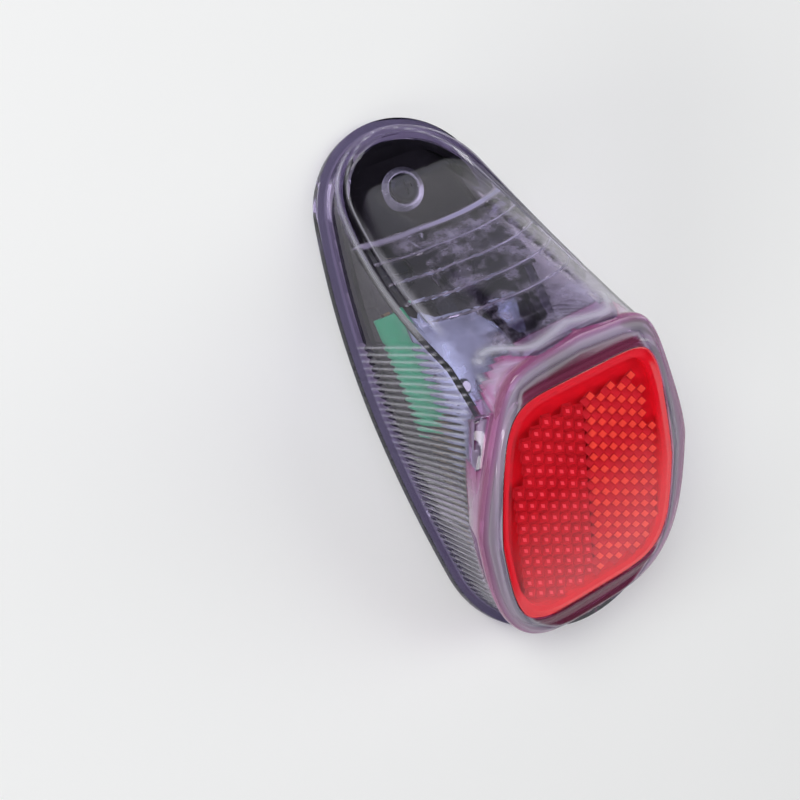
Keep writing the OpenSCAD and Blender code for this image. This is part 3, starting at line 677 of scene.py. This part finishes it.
def make_box(name, low, high):
    """A plain box between two corners, as a helper for a slot."""
    corner = np.array([low, high], float)
    points = [(corner[i][0], corner[j][1], corner[k][2]) for i in (0, 1) for j in (0, 1) for k in (0, 1)]
    faces = [(0, 1, 3, 2), (4, 6, 7, 5), (0, 4, 5, 1), (2, 3, 7, 6), (0, 2, 6, 4), (1, 5, 7, 3)]
    obj = mesh_object(name, points, faces)
    tidy_mesh(obj)
    return obj


def node(tree, kind, inputs=None, **settings):
    """Adds a shader node: its settings by name, and its inputs as values or as sockets to link."""
    made = tree.nodes.new(kind)
    for name, value in settings.items():
        setattr(made, name, value)
    for name, value in (inputs or {}).items():
        if isinstance(value, bpy.types.NodeSocket):
            tree.links.new(value, made.inputs[name])
        else:
            made.inputs[name].default_value = value
    return made


def material(name, colour, **shader):
    """A material with a Principled shader on its output, and its tree, shader and output."""
    made = bpy.data.materials.new(name)
    made.use_nodes = True
    tree = made.node_tree
    tree.nodes.clear()
    principled = node(tree, "ShaderNodeBsdfPrincipled", {"Base Color": linear(colour)})
    for socket, value in shader.items():
        principled.inputs[socket.replace("_", " ").title().replace("Ior", "IOR")].default_value = value
    output = node(tree, "ShaderNodeOutputMaterial", {"Surface": principled.outputs[0]})
    return made, tree, principled, output


def let_light_through(tree, principled, output, colour):
    """Shadow rays pass straight through, tinted, so that what is behind stays lit."""
    path = node(tree, "ShaderNodeLightPath")
    clear = node(tree, "ShaderNodeBsdfTransparent", {"Color": linear(colour)})
    mix = node(tree, "ShaderNodeMixShader",
               {0: path.outputs["Is Shadow Ray"], 1: principled.outputs[0], 2: clear.outputs[0]})
    tree.links.new(mix.outputs[0], output.inputs["Surface"])


def noise_bump(tree, principled, scale, strength, distance):
    """Fine unevenness of a surface, scale in features per metre, distance in metres. Gives the
    noise, for what else varies with it."""
    place = node(tree, "ShaderNodeTexCoord").outputs["Object"]
    noise = node(tree, "ShaderNodeTexNoise", {"Vector": place, "Scale": scale, "Detail": 3.0}).outputs[0]
    bump = node(tree, "ShaderNodeBump", {"Height": noise, "Strength": strength, "Distance": distance})
    tree.links.new(bump.outputs[0], principled.inputs["Normal"])
    return noise


def mottle(tree, principled, noise, low, high):
    """Mixes the base colour from two by the noise."""
    colour = node(tree, "ShaderNodeMixRGB", {"Fac": noise, "Color1": linear(low), "Color2": linear(high)})
    tree.links.new(colour.outputs[0], principled.inputs["Base Color"])


def wear(tree, principled, noise, low, high, span=(0.0, 1.0)):
    """Spreads the roughness between two values by the part of the noise that the span takes in."""
    rough = node(tree, "ShaderNodeMapRange", {"Value": noise, "From Min": span[0], "From Max": span[1],
                                              "To Min": low, "To Max": high})
    tree.links.new(rough.outputs[0], principled.inputs["Roughness"])


def patchy_haze(tree, where):
    """Haze in patches of some 5 mm, where the ribs are."""
    place = node(tree, "ShaderNodeTexCoord").outputs["Object"]
    patches = node(tree, "ShaderNodeTexNoise",
                   {"Vector": place, "Scale": 190.0, "Detail": 5.0, "Roughness": 0.65})
    haze = node(tree, "ShaderNodeMapRange", {"Value": patches.outputs[0], "From Min": 0.47,
                                             "From Max": 0.66, "To Min": 0.02, "To Max": 0.5})
    return node(tree, "ShaderNodeMath", {0: haze.outputs[0], 1: where}, operation="MULTIPLY").outputs[0]


def clear_acrylic():
    """Clear acrylic, injection moulded: faintly lilac through a wall, and deeper where the light
    runs a long way inside it, as along the flange. The risers of its ribs, the crests of its flutes
    and the bead's lines are left matt by the mould and painted pale blue-white, a painted highlight
    along each line, and its bezel carries a painted pink glow of the red light that it holds."""
    made, tree, principled, output = material(
        "clear_acrylic_moulded", CLEAR, roughness=0.03, ior=1.49, transmission_weight=1.0)
    noise_bump(tree, principled, scale=60, strength=0.06, distance=0.0006)
    matt, tint_and_glow, cloud, ribs = (node(tree, "ShaderNodeAttribute", attribute_name=name).outputs["Fac"]
                               for name in ("matt", "tint_and_glow", "cloud", "ribs"))
    haze = patchy_haze(tree, ribs)
    matt, cloud = (node(tree, "ShaderNodeMath", {0: value, 1: haze}, operation="MAXIMUM").outputs[0]
                   for value in (matt, cloud))
    # The ramp's pink stops across the bezel are a painted glow of the reflector's red light.
    ramp = node(tree, "ShaderNodeValToRGB", {"Fac": tint_and_glow})
    stops = ramp.color_ramp.elements
    stops[0].color, stops[1].color = linear(CLEAR), linear(TINTS_AND_RED_GLOW[-1][1])
    for place, code in TINTS_AND_RED_GLOW[:-1]:
        stops.new(place).color = linear(code)
    # The pale blue-white mixed in by these marks is a painted highlight.
    colour = node(tree, "ShaderNodeMixRGB",
                  {"Fac": matt, "Color1": ramp.outputs["Color"], "Color2": linear("#DDE3F4")})
    clear = node(tree, "ShaderNodeMath", {0: 1.0, 1: cloud}, operation="SUBTRACT")
    rough = node(tree, "ShaderNodeMapRange", {"Value": matt, "To Min": 0.03, "To Max": 0.4})
    for socket, value in (("Base Color", colour), ("Transmission Weight", clear), ("Roughness", rough)):
        tree.links.new(value.outputs[0], principled.inputs[socket])
    let_light_through(tree, principled, output, CLEAR)
    depth = node(tree, "ShaderNodeVolumeAbsorption", {"Color": linear("#C6BDD2"), "Density": 240.0})
    tree.links.new(depth.outputs[0], output.inputs["Volume"])
    return made


def red_acrylic():
    """Red acrylic of the reflector's front, moulded: glossy and see-through."""
    made, tree, principled, output = material(
        "red_acrylic_moulded", "#F98C9C", roughness=0.02, ior=1.49, transmission_weight=1.0)
    noise_bump(tree, principled, scale=90, strength=0.04, distance=0.0004)
    let_light_through(tree, principled, output, "#F8C8D0")
    return made


def prism_acrylic(name, low, high, roughness):
    """Acrylic prisms seen through the red front: satin, mottled a little from prism to prism."""
    made, tree, principled, _ = material(name, high, roughness=roughness, ior=1.49)
    noise = noise_bump(tree, principled, scale=260, strength=0.15, distance=0.0001)
    mottle(tree, principled, noise, low, high)
    return made


def satin_black():
    """Black ABS, moulded: satin, with a fine sparked texture of some 0.6 mm."""
    made, tree, principled, _ = material(
        "black_abs_moulded", "#08090B", roughness=0.5, ior=1.53, specular_ior_level=0.2)
    noise_bump(tree, principled, scale=1600, strength=0.08, distance=0.00003)
    return made


def zinc_plate():
    """Bright zinc plate on steel: mirror-like with a faint blue and fine wear."""
    made, tree, principled, _ = material("zinc_plated_steel", "#C9CDD2", roughness=0.22, metallic=1.0)
    noise = noise_bump(tree, principled, scale=1500, strength=0.1, distance=0.00004)
    wear(tree, principled, noise, 0.14, 0.34)
    return made


def black_oxide():
    """Black oxide on steel or brass: nearly black, oiled, with a dull shine."""
    made, tree, principled, _ = material("black_oxide_steel", "#34373F", roughness=0.42, metallic=1.0)
    noise = noise_bump(tree, principled, scale=1200, strength=0.12, distance=0.00004)
    wear(tree, principled, noise, 0.34, 0.52)
    return made


def rolled_brass():
    """Rolled brass sheet: warm, with slight tarnish in patches of some 3 mm."""
    made, tree, principled, _ = material("rolled_brass", "#C9A45A", roughness=0.3, metallic=1.0)
    noise = noise_bump(tree, principled, scale=350, strength=0.08, distance=0.00005)
    mottle(tree, principled, noise, "#D8B46A", "#A8843F")
    return made


def polished_aluminium():
    """Polished aluminium sheet, clouded by age: bluish, part mirror and part haze."""
    made, tree, principled, _ = material("polished_aluminium", "#B9CBDD", roughness=0.3, metallic=1.0)
    noise = noise_bump(tree, principled, scale=140, strength=0.5, distance=0.0006)
    wear(tree, principled, noise, 0.15, 0.6, span=(0.35, 0.65))
    mottle(tree, principled, noise, "#7F92A8", "#DDE9F4")
    return made


def black_rubber():
    """Moulded rubber: black and matt, with a fine grain."""
    made, tree, principled, _ = material("moulded_rubber", "#17181A", roughness=0.75, ior=1.52)
    noise_bump(tree, principled, scale=2500, strength=0.3, distance=0.00006)
    return made


def brown_phenolic():
    """Brown phenolic moulding: dark, hard and slightly mottled."""
    made, tree, principled, _ = material("phenolic_moulding", "#3A2018", roughness=0.35, ior=1.6)
    noise = noise_bump(tree, principled, scale=900, strength=0.12, distance=0.00005)
    mottle(tree, principled, noise, "#2A1610", "#4A2A1E")
    return made


def green_pvc():
    """Soft PVC sleeve: bright green, with the slight sheen of an extruded tube."""
    made, tree, principled, _ = material("soft_pvc_green", "#00D884", roughness=0.45, ior=1.53)
    noise_bump(tree, principled, scale=800, strength=0.15, distance=0.00008)
    return made


def bulb_glass_blown():
    """Blown soda glass of the bulb: thin and clear."""
    made, tree, principled, output = material(
        "blown_soda_glass", "#F4F8FA", roughness=0.0, ior=1.5, transmission_weight=1.0)
    let_light_through(tree, principled, output, "#F4F8FA")
    return made


def tungsten_wire():
    """Drawn tungsten wire: dark grey metal."""
    made, tree, principled, _ = material("tungsten_wire", "#6A6C70", roughness=0.4, metallic=1.0)
    noise_bump(tree, principled, scale=4000, strength=0.2, distance=0.00003)
    return made


def fused_black_glass():
    """Black glass under the bulb's cap: fused and glossy."""
    made, tree, principled, _ = material("fused_black_glass", "#0C0C10", roughness=0.12, ior=1.52)
    noise_bump(tree, principled, scale=700, strength=0.1, distance=0.00006)
    return made


def finish_nodes(names, made):
    """Gives a material to nodes of the frame."""
    for name in names:
        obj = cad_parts[name]
        obj.data.materials.clear()
        obj.data.materials.append(made)


class CoverSettings(bpy.types.PropertyGroup):
    """Sizes of the clear cover."""

    wall: FloatProperty(name="Wall", description="Thickness of the wall", default=0.002, unit="LENGTH")
    flute_pitch: FloatProperty(name="Flute pitch", description="Distance between flutes", default=0.0013,
                               unit="LENGTH")
    flute_depth: FloatProperty(name="Flute depth", description="How far a flute stands out", default=0.00014,
                               unit="LENGTH")
    bead_width: FloatProperty(name="Bead width", description="Width of the oval bead", default=0.0027,
                              unit="LENGTH")
    bead_height: FloatProperty(name="Bead height", description="Height of the oval bead", default=0.0005,
                               unit="LENGTH")
    rib_pitch: FloatProperty(name="Rib pitch", description="Distance between the window's ribs",
                             default=0.004, unit="LENGTH")
    rib_height: FloatProperty(name="Rib height", description="How far a rib stands in", default=0.0012,
                              unit="LENGTH")
    rib_count: IntProperty(name="Ribs", description="Number of ribs", default=5)


class ReflectorSettings(bpy.types.PropertyGroup):
    """Sizes of the red reflector."""

    prism_pitch: FloatProperty(name="Prism pitch", description="Distance between prisms up the face",
                               default=0.0025, unit="LENGTH")
    prism_step: FloatProperty(name="Prism step", description="Height of each of a prism's two levels",
                              default=0.0005, unit="LENGTH")
    margin: FloatProperty(name="Margin", description="Plain margin round the prisms", default=0.0019,
                          unit="LENGTH")


class StudioSettings(bpy.types.PropertyGroup):
    """Light and floor."""

    floor: FloatVectorProperty(name="Floor", description="Colour of the floor", subtype="COLOR",
                               default=linear("#FCFCFB")[:3])
    sky: FloatProperty(name="Sky", description="Strength of the surrounding light", default=0.9)
    key: FloatProperty(name="Key", description="Power of the main lamp", default=1.35, unit="POWER")


class REARLIGHT_OT_cover(bpy.types.Operator):
    """Make the clear cover"""

    bl_idname = "rearlight.cover"
    bl_label = "Cover"

    def execute(self, context):
        s = context.scene.rearlight_cover
        cover = make_shell_outside(s)
        cut(cover, make_bezel_block(), "UNION")
        cut(cover, make_shell_hollow(s))
        cut(cover, make_prism("opening", red_ring, SEAT_STEP, -OPENING_DEPTH, OVER_FACE))
        cut(cover, make_prism("seat", red_ring, -SEAT_PLAY, -SEAT_DEPTH, OVER_FACE))
        half, inner = TONGUE_W / 2 + TONGUE_PLAY, HEEL_Y + SLOT_LENGTH
        corner = (half, inner, TONGUE_TOP + TONGUE_PLAY)
        cut(cover, make_box("slot", (-half, HEEL_Y - 5, HOOK_BAR[1]), corner))
        cut(cover, make_box("slot", (-half, HEEL_Y + HOOK_BAR[0], -1), corner))
        tidy_mesh(cover, outward=False)
        smooth(cover, 32)
        mark_finish(cover, s)
        cover.data.materials.append(clear_acrylic())
        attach(cover, "lens")
        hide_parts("cover")
        return {"FINISHED"}


def prism_cells(s):
    """Middles of the hexagonal prisms in face coordinates: columns 1.5 corner radii apart, every
    other one moved by half a pitch, kept inside the reflector's margin, which is wider at the top.
    Gives also whether each lies in the right half."""
    pitch = s.prism_pitch / MM
    column = pitch * math.sqrt(3) / 2
    columns, rows = int(RED_HALF / column) + 1, int(RED_ENDS[0][0] / pitch) + 1
    i, j = np.meshgrid(np.arange(-columns, columns), np.arange(-rows, rows + 1), indexing="ij")
    x = (i + 0.5) * column
    u = RED_U + (j + 0.5 * (i % 2)) * pitch
    ring_x, ring_u = red_ring(s.margin / MM)
    angle = np.arctan2(ring_u - RED_U, ring_x)
    order = np.argsort(angle)
    limit = np.interp(np.arctan2(u - RED_U, x), angle[order], np.hypot(ring_x, ring_u - RED_U)[order],
                      period=2 * math.pi)
    up = np.maximum(np.sin(np.arctan2(u - RED_U, x)), 0)
    inside = np.hypot(x, u - RED_U) < limit - pitch * (0.45 + 0.9 * up * up)
    return x[inside], u[inside], i[inside] >= 0


def prism_sheet(s):
    """Corner prisms: each hexagon has its middle at the back and its corners on two levels in
    turn, which makes three slanted lozenges. The left half's hexagons are turned by 180 degrees."""
    x, u, right = prism_cells(s)
    pitch, step = s.prism_pitch / MM, s.prism_step / MM
    radius = pitch / math.sqrt(3)
    turn = np.arange(6) * math.pi / 3
    odd = np.where(right, 0, 1)
    level = np.where((np.arange(6) % 2)[None, :] == odd[:, None], 2, 1) * step
    corners = face_point(x[:, None] + radius * np.cos(turn), u[:, None] + radius * np.sin(turn),
                         PRISM_BACK + level)
    middles = face_point(x, u, PRISM_BACK)[:, None]
    base = np.arange(len(x))[:, None] * 7
    faces = []
    for k in range(6):
        lozenge = [base, base + 1 + (k - 1) % 6, base + 1 + k, base + 1 + (k + 1) % 6]
        faces.append(np.concatenate(lozenge, axis=1)[odd == k % 2])
    return np.concatenate([middles, corners], axis=1).reshape(-1, 3), np.concatenate(faces)


def painted_highlight_kites(s, right_half, turn, across, along):
    """Painted highlights on one lozenge of each prism in a half: a bright kite about the middle of
    the lozenge at this angle, by shares of its two diagonals, a hair in front of it."""
    x, u, right = prism_cells(s)
    x, u = x[right == right_half], u[right == right_half]
    radius, step = s.prism_pitch / MM / math.sqrt(3), s.prism_step / MM
    hair = 0.03
    points = []
    for a, b in ((-across, 0), (0, -along), (across, 0), (0, along)):
        out, beside = radius * (0.5 + 0.5 * a), radius * math.sin(math.pi / 3) * b
        points.append(face_point(x + out * math.cos(turn) - beside * math.sin(turn),
                                 u + out * math.sin(turn) + beside * math.cos(turn),
                                 PRISM_BACK + hair + step * (1 + a)))
    return np.stack(points, axis=1).reshape(-1, 3), np.arange(len(x) * 4).reshape(-1, 4)


def ring_stack(steps):
    """A closed skin over the reflector's outline at each (inset, height) step, gathered at both
    ends: points and faces."""
    grid = gathered(ring_rows(red_ring, steps), face_middle(steps[0][1]), face_middle(steps[-1][1]))
    return grid.reshape(-1, 3), grid_faces(*grid.shape[:2])


def joined(name, parts, materials):
    """One object made of several parts, each with its own material."""
    points, faces, slots, first = [], [], [], 0
    for slot, (part_points, part_faces) in enumerate(parts):
        points.append(part_points)
        faces += [list(map(int, f)) for f in np.asarray(part_faces) + first]
        slots += [slot] * len(part_faces)
        first += len(part_points)
    obj = mesh_object(name, np.concatenate(points), faces)
    for made in materials:
        obj.data.materials.append(made)
    obj.data.polygons.foreach_set("material_index", slots)
    tidy_mesh(obj)
    return obj


class REARLIGHT_OT_reflector(bpy.types.Operator):
    """Make the red reflector: its clear red front, the prisms behind it, their rim and the back, and bright
    kites and dots of painted highlight and painted glint over the prisms
    """

    bl_idname = "rearlight.reflector"
    bl_label = "Reflector"

    def execute(self, context):
        s = context.scene.rearlight_reflector
        margin = s.margin / MM
        front = ring_stack([(0.2, -0.75), (0.15, -0.75), (0.0, -0.6), (0.0, 0.0), (0.12, 0.16),
                            (0.45, 0.24), (1.0, 0.24), (1.35, 0.4), (1.7, 0.42), (3.5, 0.42)])
        rim = ring_stack([(margin, PRISM_BACK - 0.1), (margin, -1.0), (0.05, -0.8), (0.05, -2.2),
                          (margin + 0.4, -2.2)])
        back = ring_stack([(SEAT_STEP + 0.3, -SEAT_DEPTH - 1.9), (SEAT_STEP + 0.3, PRISM_BACK - 0.1)])
        # Bright kites over the right half's prisms: painted highlights.
        painted_highlights = painted_highlight_kites(s, right_half=True, turn=0.0, across=0.85, along=0.7)
        # Pale pink dots over the left half's prisms: painted glints.
        painted_glints = painted_highlight_kites(s, right_half=False, turn=-math.pi / 3, across=0.55, along=0.3)
        reflector = joined("reflector", [front, prism_sheet(s), rim, back, painted_highlights, painted_glints],
                           [red_acrylic(), prism_acrylic("acrylic_prisms", "#B44A54", "#DA6270", 0.3),
                            prism_acrylic("acrylic_rim", "#EA425C", "#F65270", 0.35),
                            prism_acrylic("acrylic_back_grey", "#7E8798", "#98A1B2", 0.4),
                            prism_acrylic("painted_highlight_facets", "#FFD290", "#FFF4B0", 0.25),
                            prism_acrylic("painted_glint_dots", "#F0B0B8", "#FFE0E0", 0.25)])
        smooth(reflector, 40)
        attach(reflector, "lens")
        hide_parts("reflector")
        return {"FINISHED"}


def turned(name, profile, middle):
    """A closed piece turned about an upright axis: x = r cos a, y = r sin a for each (r, z) of the
    profile and 96 angles a. The profile begins and ends at the same place."""
    a = np.linspace(0, 2 * math.pi, 97)[:-1]
    r, z = np.array(profile + profile[:1]).T
    grid = np.stack([middle[0] + r[:, None] * np.cos(a), middle[1] + r[:, None] * np.sin(a),
                     np.repeat(z[:, None], len(a), axis=1)], -1)
    return grid_object(name, grid)


def make_washer():
    """The cup washer, from its box in the frame: an upright foot, a cone up to a flat rim and a
    dished seat down to the hole."""
    low, high = (np.array(corner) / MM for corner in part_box("cup_washer"))
    reach, base, tall = (high[0] - low[0]) / 2, low[2], high[2] - low[2]
    hole = reach - 1.9
    profile = [(reach - 0.1, base), (reach, base + 0.1), (reach, base + 0.25),
               (reach - 0.5, base + 0.8 * tall), (reach - 0.9, base + tall), (reach - 1.3, base + tall),
               (reach - 1.7, base + 0.7 * tall), (hole, base + 0.3 * tall), (hole, base)]
    return turned("washer", profile, (low + high) / 2)


class REARLIGHT_OT_base(bpy.types.Operator):
    """Turn the cup washer, and finish the carrier and what is fixed to it"""

    bl_idname = "rearlight.base"
    bl_label = "Base"

    def execute(self, context):
        washer = make_washer()
        washer.data.materials.append(zinc_plate())
        smooth(washer, 35)
        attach(washer, "base")
        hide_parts("cup_washer")
        finish_nodes(["carrier", "terminal_hood"], satin_black())
        finish_nodes(["base_pad", "cable_grommet"], black_rubber())
        finish_nodes(["base_plate", "dish_rivets", "earth_rivet"], zinc_plate())
        finish_nodes(["mount_bushes", "carrier_screw", "clamp_plate", "terminal_screw", "earth_strip"],
                     black_oxide())
        finish_nodes(["screw_insert", "holder_shell", "centre_contact", "contact_rivet", "live_lead",
                      "terminal_block", "bulb_cap"], rolled_brass())
        finish_nodes(["holder_body"], brown_phenolic())
        finish_nodes(["light_dish"], polished_aluminium())
        finish_nodes(["lead_sleeve"], green_pvc())
        return {"FINISHED"}


class REARLIGHT_OT_bulb(bpy.types.Operator):
    """Finish the bulb"""

    bl_idname = "rearlight.bulb"
    bl_label = "Bulb"

    def execute(self, context):
        finish_nodes(["bulb_glass", "bulb_stem"], bulb_glass_blown())
        finish_nodes(["bulb_filament"], tungsten_wire())
        finish_nodes(["bulb_insulator"], fused_black_glass())
        finish_nodes(["bulb_tip"], zinc_plate())
        return {"FINISHED"}


def pale_background(tree):
    """1 for the rays that show the background: from the camera, off metal and through glass."""
    path = node(tree, "ShaderNodeLightPath")
    seen = path.outputs["Is Camera Ray"]
    for kind in ("Is Glossy Ray", "Is Transmission Ray"):
        seen = node(tree, "ShaderNodeMath", {0: seen, 1: path.outputs[kind]}, operation="MAXIMUM").outputs[0]
    return seen


def paper_floor(colour):
    """Matt paper. From 0.2 to 0.75 m off it goes over into a pale background, for the rays that
    show it."""
    made, tree, principled, output = material("matt_paper", "#FCFCFB", roughness=0.9)
    principled.inputs["Base Color"].default_value = (*colour, 1)
    place = node(tree, "ShaderNodeTexCoord").outputs["Object"]
    around = node(tree, "ShaderNodeVectorMath", {0: place}, operation="LENGTH").outputs["Value"]
    far_off = node(tree, "ShaderNodeMapRange",
                   {"Value": around, "From Min": 0.2, "From Max": 0.75, "To Min": 0.0,
                    "To Max": pale_background(tree)}, interpolation_type="SMOOTHSTEP")
    pale = node(tree, "ShaderNodeEmission", {"Color": linear("#F6F7F8"), "Strength": 1.0})
    mixed = node(tree, "ShaderNodeMixShader",
                 {0: far_off.outputs[0], 1: principled.outputs[0], 2: pale.outputs[0]})
    tree.links.new(mixed.outputs[0], output.inputs["Surface"])
    return made


def make_floor(colour):
    """A square floor just under the part, wide enough to reach the horizon."""
    far, low = 4000, -0.05
    corners = [(-far, -far, low), (far, -far, low), (far, far, low), (-far, far, low)]
    floor = mesh_object("floor", corners, [(0, 1, 2, 3)])
    floor.data.materials.append(paper_floor(colour))
    return floor


def studio_world(sky):
    """A studio's surroundings by height: pale up to just over the horizon, dark above that for
    crisp reflections, and half bright overhead."""
    world = bpy.data.worlds.new("studio")
    world.use_nodes = True
    tree = world.node_tree
    tree.nodes.clear()
    place = node(tree, "ShaderNodeTexCoord").outputs["Generated"]
    height = node(tree, "ShaderNodeSeparateXYZ", {0: place}).outputs["Z"]
    ramp = node(tree, "ShaderNodeValToRGB", {"Fac": height})
    stops = ramp.color_ramp.elements
    stops[0].color, stops[1].color = (1, 1, 1, 1), (0.6, 0.6, 0.6, 1)
    for up, grey in ((0.15, 1.0), (0.22, 0.03), (0.62, 0.03), (0.95, 0.6)):
        stops.new(up).color = (grey, grey, grey, 1)
    strength = node(tree, "ShaderNodeMath", {0: ramp.outputs["Color"], 1: sky}, operation="MULTIPLY")
    background = node(tree, "ShaderNodeBackground",
                      {"Color": linear("#F2F5FA"), "Strength": strength.outputs[0]})
    node(tree, "ShaderNodeOutputWorld", {"Surface": background.outputs[0]})
    return world


def make_lamp(name, place, wide, high, power):
    """A rectangular lamp that shines at the middle of the mounting surface."""
    light = bpy.data.lights.new(name, "AREA")
    light.shape = "RECTANGLE"
    light.size, light.size_y, light.energy = wide, high, power
    lamp = bpy.data.objects.new(name, light)
    bpy.context.scene.collection.objects.link(lamp)
    away = Matrix.Translation(place)
    lamp.matrix_world = away @ (-away.translation).to_track_quat("-Z", "Y").to_matrix().to_4x4()


def make_camera():
    """The photograph's camera. Its up axis is set square to its right axis."""
    camera = bpy.data.objects.new("camera", bpy.data.cameras.new("camera"))
    camera.data.sensor_width = 36
    camera.data.lens = CAMERA_LENS
    camera.data.clip_start = 0.01
    right, up = np.array(CAMERA_RIGHT), np.array(CAMERA_UP)
    right /= np.linalg.norm(right)
    up -= right * np.dot(right, up)
    up /= np.linalg.norm(up)
    pose = np.eye(4)
    pose[:3, :3] = np.stack([right, up, np.cross(right, up)], axis=1)
    pose[:3, 3] = CAMERA_AT
    bpy.context.scene.collection.objects.link(camera)
    camera.matrix_world = Matrix(pose.tolist())
    return camera


class REARLIGHT_OT_stage(bpy.types.Operator):
    """Set the floor, the lights and the camera"""

    bl_idname = "rearlight.stage"
    bl_label = "Stage"

    def execute(self, context):
        s = context.scene.rearlight_studio
        scene = context.scene
        scene.view_settings.view_transform = "Standard"
        floor = make_floor(s.floor)
        scene.world = studio_world(s.sky)
        make_lamp("key", (-0.35, 0.45, 0.55), wide=0.35, high=0.5, power=s.key * 2.6)
        make_lamp("fill", (0.55, -0.1, 0.45), wide=0.3, high=0.6, power=s.key * 1.2)
        make_lamp("strip", (-0.6, -0.35, 0.3), wide=0.5, high=0.12, power=s.key * 1.1)
        scene.camera = make_camera()
        return {"FINISHED"}


class REARLIGHT_PT_panel(bpy.types.Panel):
    """Lists the operators and their sizes"""

    bl_idname = "REARLIGHT_PT_panel"
    bl_label = "Rear Light"
    bl_space_type = "VIEW_3D"
    bl_region_type = "UI"
    bl_category = "Rear Light"

    def draw(self, context):
        scene = context.scene
        shown = ((scene.rearlight_cover, ("flute_pitch", "flute_depth", "rib_pitch", "rib_height")),
                 (scene.rearlight_reflector, ("prism_pitch", "prism_step")),
                 (scene.rearlight_studio, ("floor", "sky", "key")))
        for group, names in shown:
            for name in names:
                self.layout.prop(group, name)
        for operator in STEPS:
            self.layout.operator(operator.bl_idname)


GROUPS = (("rearlight_cover", CoverSettings), ("rearlight_reflector", ReflectorSettings),
          ("rearlight_studio", StudioSettings))
STEPS = (REARLIGHT_OT_stage, REARLIGHT_OT_cover, REARLIGHT_OT_reflector, REARLIGHT_OT_base, REARLIGHT_OT_bulb)


def register():
    for name, group in GROUPS:
        bpy.utils.register_class(group)
        setattr(bpy.types.Scene, name, PointerProperty(type=group))
    for step in STEPS:
        bpy.utils.register_class(step)
    bpy.utils.register_class(REARLIGHT_PT_panel)


def unregister():
    bpy.utils.unregister_class(REARLIGHT_PT_panel)
    for step in reversed(STEPS):
        bpy.utils.unregister_class(step)
    for name, group in reversed(GROUPS):
        delattr(bpy.types.Scene, name)
        bpy.utils.unregister_class(group)


def main():
    register()
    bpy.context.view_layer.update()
    bpy.ops.rearlight.stage()
    bpy.ops.rearlight.cover()
    bpy.ops.rearlight.reflector()
    bpy.ops.rearlight.base()
    bpy.ops.rearlight.bulb()


if __name__ == "__main__":
    main()
